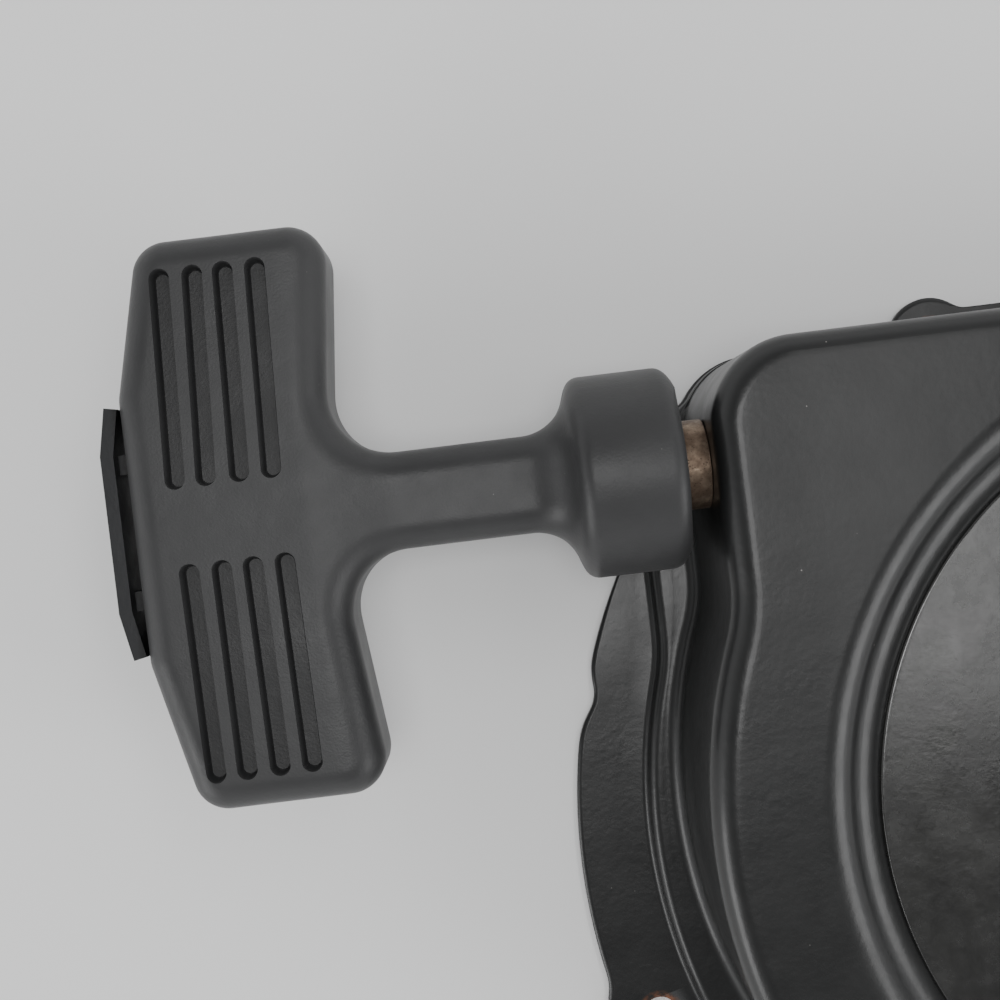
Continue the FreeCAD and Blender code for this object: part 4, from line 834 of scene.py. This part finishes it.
def slot_cutter():
    """The sixteen finger slots as one cutter: drafted sides, round ends, slightly dished floor."""
    turn = np.linspace(0, 2 * math.pi, 40, endpoint=False)
    straight = SLOT_HALF_LENGTH - SLOT_HALF_WIDTH
    verts, faces = [], []
    for n in range(4):
        for side in (-1, 1):
            for face in (-1, 1):
                first = len(verts)
                wobble = rng.normal(0, 0.10, 3)
                levels = ((1.6, 0.10), (0.0, 0.0), (-SLOT_DEPTH + 0.35, -0.22), (-SLOT_DEPTH, -0.5))
                for rise, grow in levels:
                    half = SLOT_HALF_WIDTH + grow
                    x = half * np.cos(turn)
                    v = half * np.sin(turn) + np.sign(np.sin(turn) + 1e-9) * straight
                    bend = wobble[0] * np.cos(v / straight * 1.5) + wobble[1] * v / straight
                    x = x + SLOT_FIRST - SLOT_PITCH * n - side * v * SLOT_LEAN[side] + bend
                    v = v + side * (SLOT_FROM_MIDDLE + SLOT_HALF_LENGTH)
                    z = np.full(len(turn), face * (BAR_HALF_THICK + rise))
                    verts += np.stack([-x, v + ROPE_Y, z + ROPE_Z], 1).tolist()
                rings = [list(f + first) for f in ring_faces(len(levels), len(turn))]
                ends = [list(range(first, first + len(turn)))[::-1],
                        list(range(first + (len(levels) - 1) * len(turn), len(verts)))]
                step = 1 if face > 0 else -1
                faces += [f[::step] for f in rings + ends]
    return mesh_object("slots", verts, faces)


def grip():
    """The rubber T-handle: one blended form, with the finger slots cut into both faces."""
    step = 0.45
    verts, faces = surface_nets(grip_distance, *GRIP_BOX, step)
    verts = project(verts, grip_distance)
    verts[:, 2] += noise3(verts, 14.0, 11) * 0.03
    verts = np.stack([-verts[:, 0], verts[:, 1] + ROPE_Y, verts[:, 2] + ROPE_Z], 1)
    piece = mesh_object("grip_rubber", verts, faces[:, ::-1])
    cut_away(piece, slot_cutter())
    piece.data.polygons.foreach_set("use_smooth", [True] * len(piece.data.polygons))
    piece.data.set_sharp_from_angle(angle=math.radians(38))
    piece.data.materials.append(MATERIALS["rubber"])
    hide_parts("grip")
    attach(piece, "handle")


# ------------------------------------------------------------------ small pieces

def badge():
    """Blank disc on the recess floor."""
    top = RECESS_Z + DISC_THICK
    section = rounded([(40.0, RECESS_Z), (DISC_R, RECESS_Z), (DISC_R, top), (DISC_R - 1, top),
                       (50.0, top), (20.0, top)], [0, 0.1, 0.45, 0, 0, 0])
    piece = lathe("blank_disc", section, 256, disc=True)
    piece.data.materials.append(MATERIALS["disc"])
    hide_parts("badge_disc")
    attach(piece, "housing")


def bush():
    """Rope guide: a neck in the outlet with a lip inside the wall and a nose outside it."""
    bore, lip, neck, nose = 2.9, 6.2, 5.45, 7.0
    section = rounded([(bore, 0.0), (lip, 0.0), (lip, 1.5), (neck, 1.5), (neck, 3.0),
                       (nose, 3.0), (nose, 7.5), (bore, 7.5)],
                      [0.9, 0.5, 0.1, 0.1, 0.1, 0.15, 0.9, 1.0])
    piece = lathe("guide_bush", section, 128, axis="x", origin=(-OUTLET_X + 3.0, ROPE_Y, ROPE_Z))
    piece.data.materials.append(MATERIALS["bronze"])
    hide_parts("rope_bush")
    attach(piece, "housing")


def cord_skin(name, start, end):
    """Braided cord along -X from start to end: two crossing families of strands in relief."""
    steps = 64
    length = end - start
    along = np.linspace(0, length, max(int(length / 0.16), 4))
    turn = np.linspace(0, 2 * math.pi, steps, endpoint=False)
    x, a = np.meshgrid(start + along, turn, indexing="ij")
    phase = 2 * math.pi * x / BRAID_LAY
    right = BRAID_STRANDS / 2 * a + phase
    left = BRAID_STRANDS / 2 * a - phase
    over = np.sin(right) * np.sin(left) > 0
    relief = np.where(over, np.abs(np.cos(right)), np.abs(np.cos(left)))
    radius = ROPE_R - BRAID_SUNK + BRAID_RELIEF * np.sqrt(relief)
    verts = np.stack([-x, ROPE_Y + radius * np.cos(a), ROPE_Z + radius * np.sin(a)], 2)
    verts = verts.reshape(-1, 3)
    rings = len(along)
    faces = [list(f)[::-1] for f in ring_faces(rings, steps)]
    faces += [list(range(steps)), list(range((rings - 1) * steps, rings * steps))[::-1]]
    piece = mesh_object(name, verts, faces)
    piece.data.materials.append(MATERIALS["cord"])
    return piece


def rope():
    """The three straight stretches of rope; the middle one pays out between two bodies."""
    for node, start, end, body in (("rope_lead", ROPE_START, RUN_START, "housing"),
                                   ("rope_tail", RUN_END, ROPE_END, "rope_end")):
        piece = cord_skin(node + "_braid", start, end)
        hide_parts(node)
        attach(piece, body)
    run = cord_skin("rope_run_braid", RUN_START, RUN_END)
    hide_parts("rope_run")
    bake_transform(run)


def keep_node(name, material, bevel=0.0):
    """A CAD piece whose shape is right: its finish, and its sharp edges broken."""
    node = nodes[name]
    node.data.materials.clear()
    node.data.materials.append(MATERIALS[material])
    if bevel:
        modifier = node.modifiers.new("edges", "BEVEL")
        modifier.width = bevel * MM
        modifier.segments = 2
        modifier.limit_method = "ANGLE"
        modifier.angle_limit = math.radians(40)


MATERIALS = {
    "paint": painted_steel(), "disc": gloss_disc(), "rubber": moulded_rubber(),
    "plastic": hard_plastic(), "reel": reel_nylon(), "bronze": sintered_bronze(),
    "plated": plated_steel(), "zinc": plated_steel("yellow_zinc", (0.58, 0.50, 0.34), 0.30),
    "spring": spring_steel(), "hard": hardened_steel(), "nylon": natural_nylon(),
    "cord": braided_cord(),
}

KEPT = {
    "centre_post": ("plated", 0.2), "thrust_washer": ("nylon", 0.08),
    "brake_spring": ("spring", 0.0), "post_washer": ("plated", 0.15),
    "retaining_nut": ("plated", 0.2), "spring_anchor": ("plated", 0.2),
    "recoil_spring": ("spring", 0.0), "reel": ("reel", 0.3), "reel_bush": ("nylon", 0.15),
    "rope_wound": ("cord", 0.0), "reel_knot": ("cord", 0.0), "pawl_a": ("hard", 0.25),
    "pawl_b": ("hard", 0.25), "pawl_pins": ("plated", 0.1), "pawl_clips": ("spring", 0.08),
    "pawl_guide": ("zinc", 0.2), "knot_washer": ("plated", 0.15), "handle_knot": ("cord", 0.0),
    "grip_sleeve": ("plastic", 0.1), "rear_cap": ("plastic", 0.45),
}


# ------------------------------------------------------------------ stage

CAMERA_HEIGHT = 0.220
CAMERA_X, CAMERA_Y = -0.1106, 0.0554
ROLL = math.radians(-7.0)


def camera():
    """Camera above the grip's stem, looking straight down."""
    data = bpy.data.cameras.new("camera")
    data.lens = 45.0
    data.sensor_width = 36.0
    data.clip_start = 0.005
    obj = bpy.data.objects.new("camera", data)
    bpy.context.scene.collection.objects.link(obj)
    obj.location = (CAMERA_X, CAMERA_Y, CAMERA_HEIGHT)
    obj.rotation_euler = (0.0, 0.0, ROLL)
    bpy.context.scene.camera = obj


def floor():
    """Plain pale floor, just below the flange."""
    size = 15.0
    mesh = bpy.data.meshes.new("floor")
    mesh.from_pydata([(-size, -size, 0), (size, -size, 0), (size, size, 0), (-size, size, 0)],
                     [], [(0, 1, 2, 3)])
    obj = link(mesh, "floor")
    obj.location.z = -0.0003
    s = Shader("pale_floor", (0.86, 0.86, 0.855), 0.75)
    s.color(s.mix(s.noise(6.0, 3.0), (0.85, 0.85, 0.848), (0.875, 0.875, 0.87)))
    obj.data.materials.append(s.material)


def area_light(name, place, target, size, power):
    """Soft white lamp at place, facing target."""
    data = bpy.data.lights.new(name, "AREA")
    data.shape = "RECTANGLE"
    data.size, data.size_y = size
    data.energy = power
    obj = bpy.data.objects.new(name, data)
    bpy.context.scene.collection.objects.link(obj)
    obj.location = place
    direction = Vector(target) - Vector(place)
    obj.rotation_euler = direction.to_track_quat("-Z", "Y").to_euler()


def lights():
    """Plain studio: brighter at the sides than overhead, with four soft lamps."""
    world = bpy.data.worlds.new("studio")
    bpy.context.scene.world = world
    world.use_nodes = True
    tree = world.node_tree
    background = tree.nodes["Background"]
    background.inputs["Color"].default_value = (0.985, 0.99, 1.0, 1)
    sky = tree.nodes.new("ShaderNodeTexCoord")
    split = tree.nodes.new("ShaderNodeSeparateXYZ")
    share = tree.nodes.new("ShaderNodeMapRange")
    tree.links.new(sky.outputs["Generated"], split.inputs[0])
    tree.links.new(split.outputs["Z"], share.inputs["Value"])
    for key, value in (("From Min", 0.30), ("From Max", 0.85), ("To Min", 1.25), ("To Max", 0.25)):
        share.inputs[key].default_value = value
    tree.links.new(share.outputs["Result"], background.inputs["Strength"])
    area_light("overhead", (-0.15, 0.06, 1.5), (-0.15, 0.06, 0), (0.5, 0.5), 6.5)
    area_light("key", (0.90, -0.42, 0.55), (-0.03, 0.0, 0.03), (0.6, 0.5), 4.2)
    area_light("window", (0.268, 0.25, 0.93), (0.268, 0.25, 0), (0.22, 0.86), 1.7)
    area_light("low side", (-0.85, -0.38, 0.32), (-0.09, 0.0, 0.02), (0.5, 0.3), 2.6)


# ------------------------------------------------------------------ build

camera()
floor()
lights()
housing()
badge()
bush()
grip()
rope()
for kept_name, (kept_material, kept_bevel) in KEPT.items():
    keep_node(kept_name, kept_material, kept_bevel)
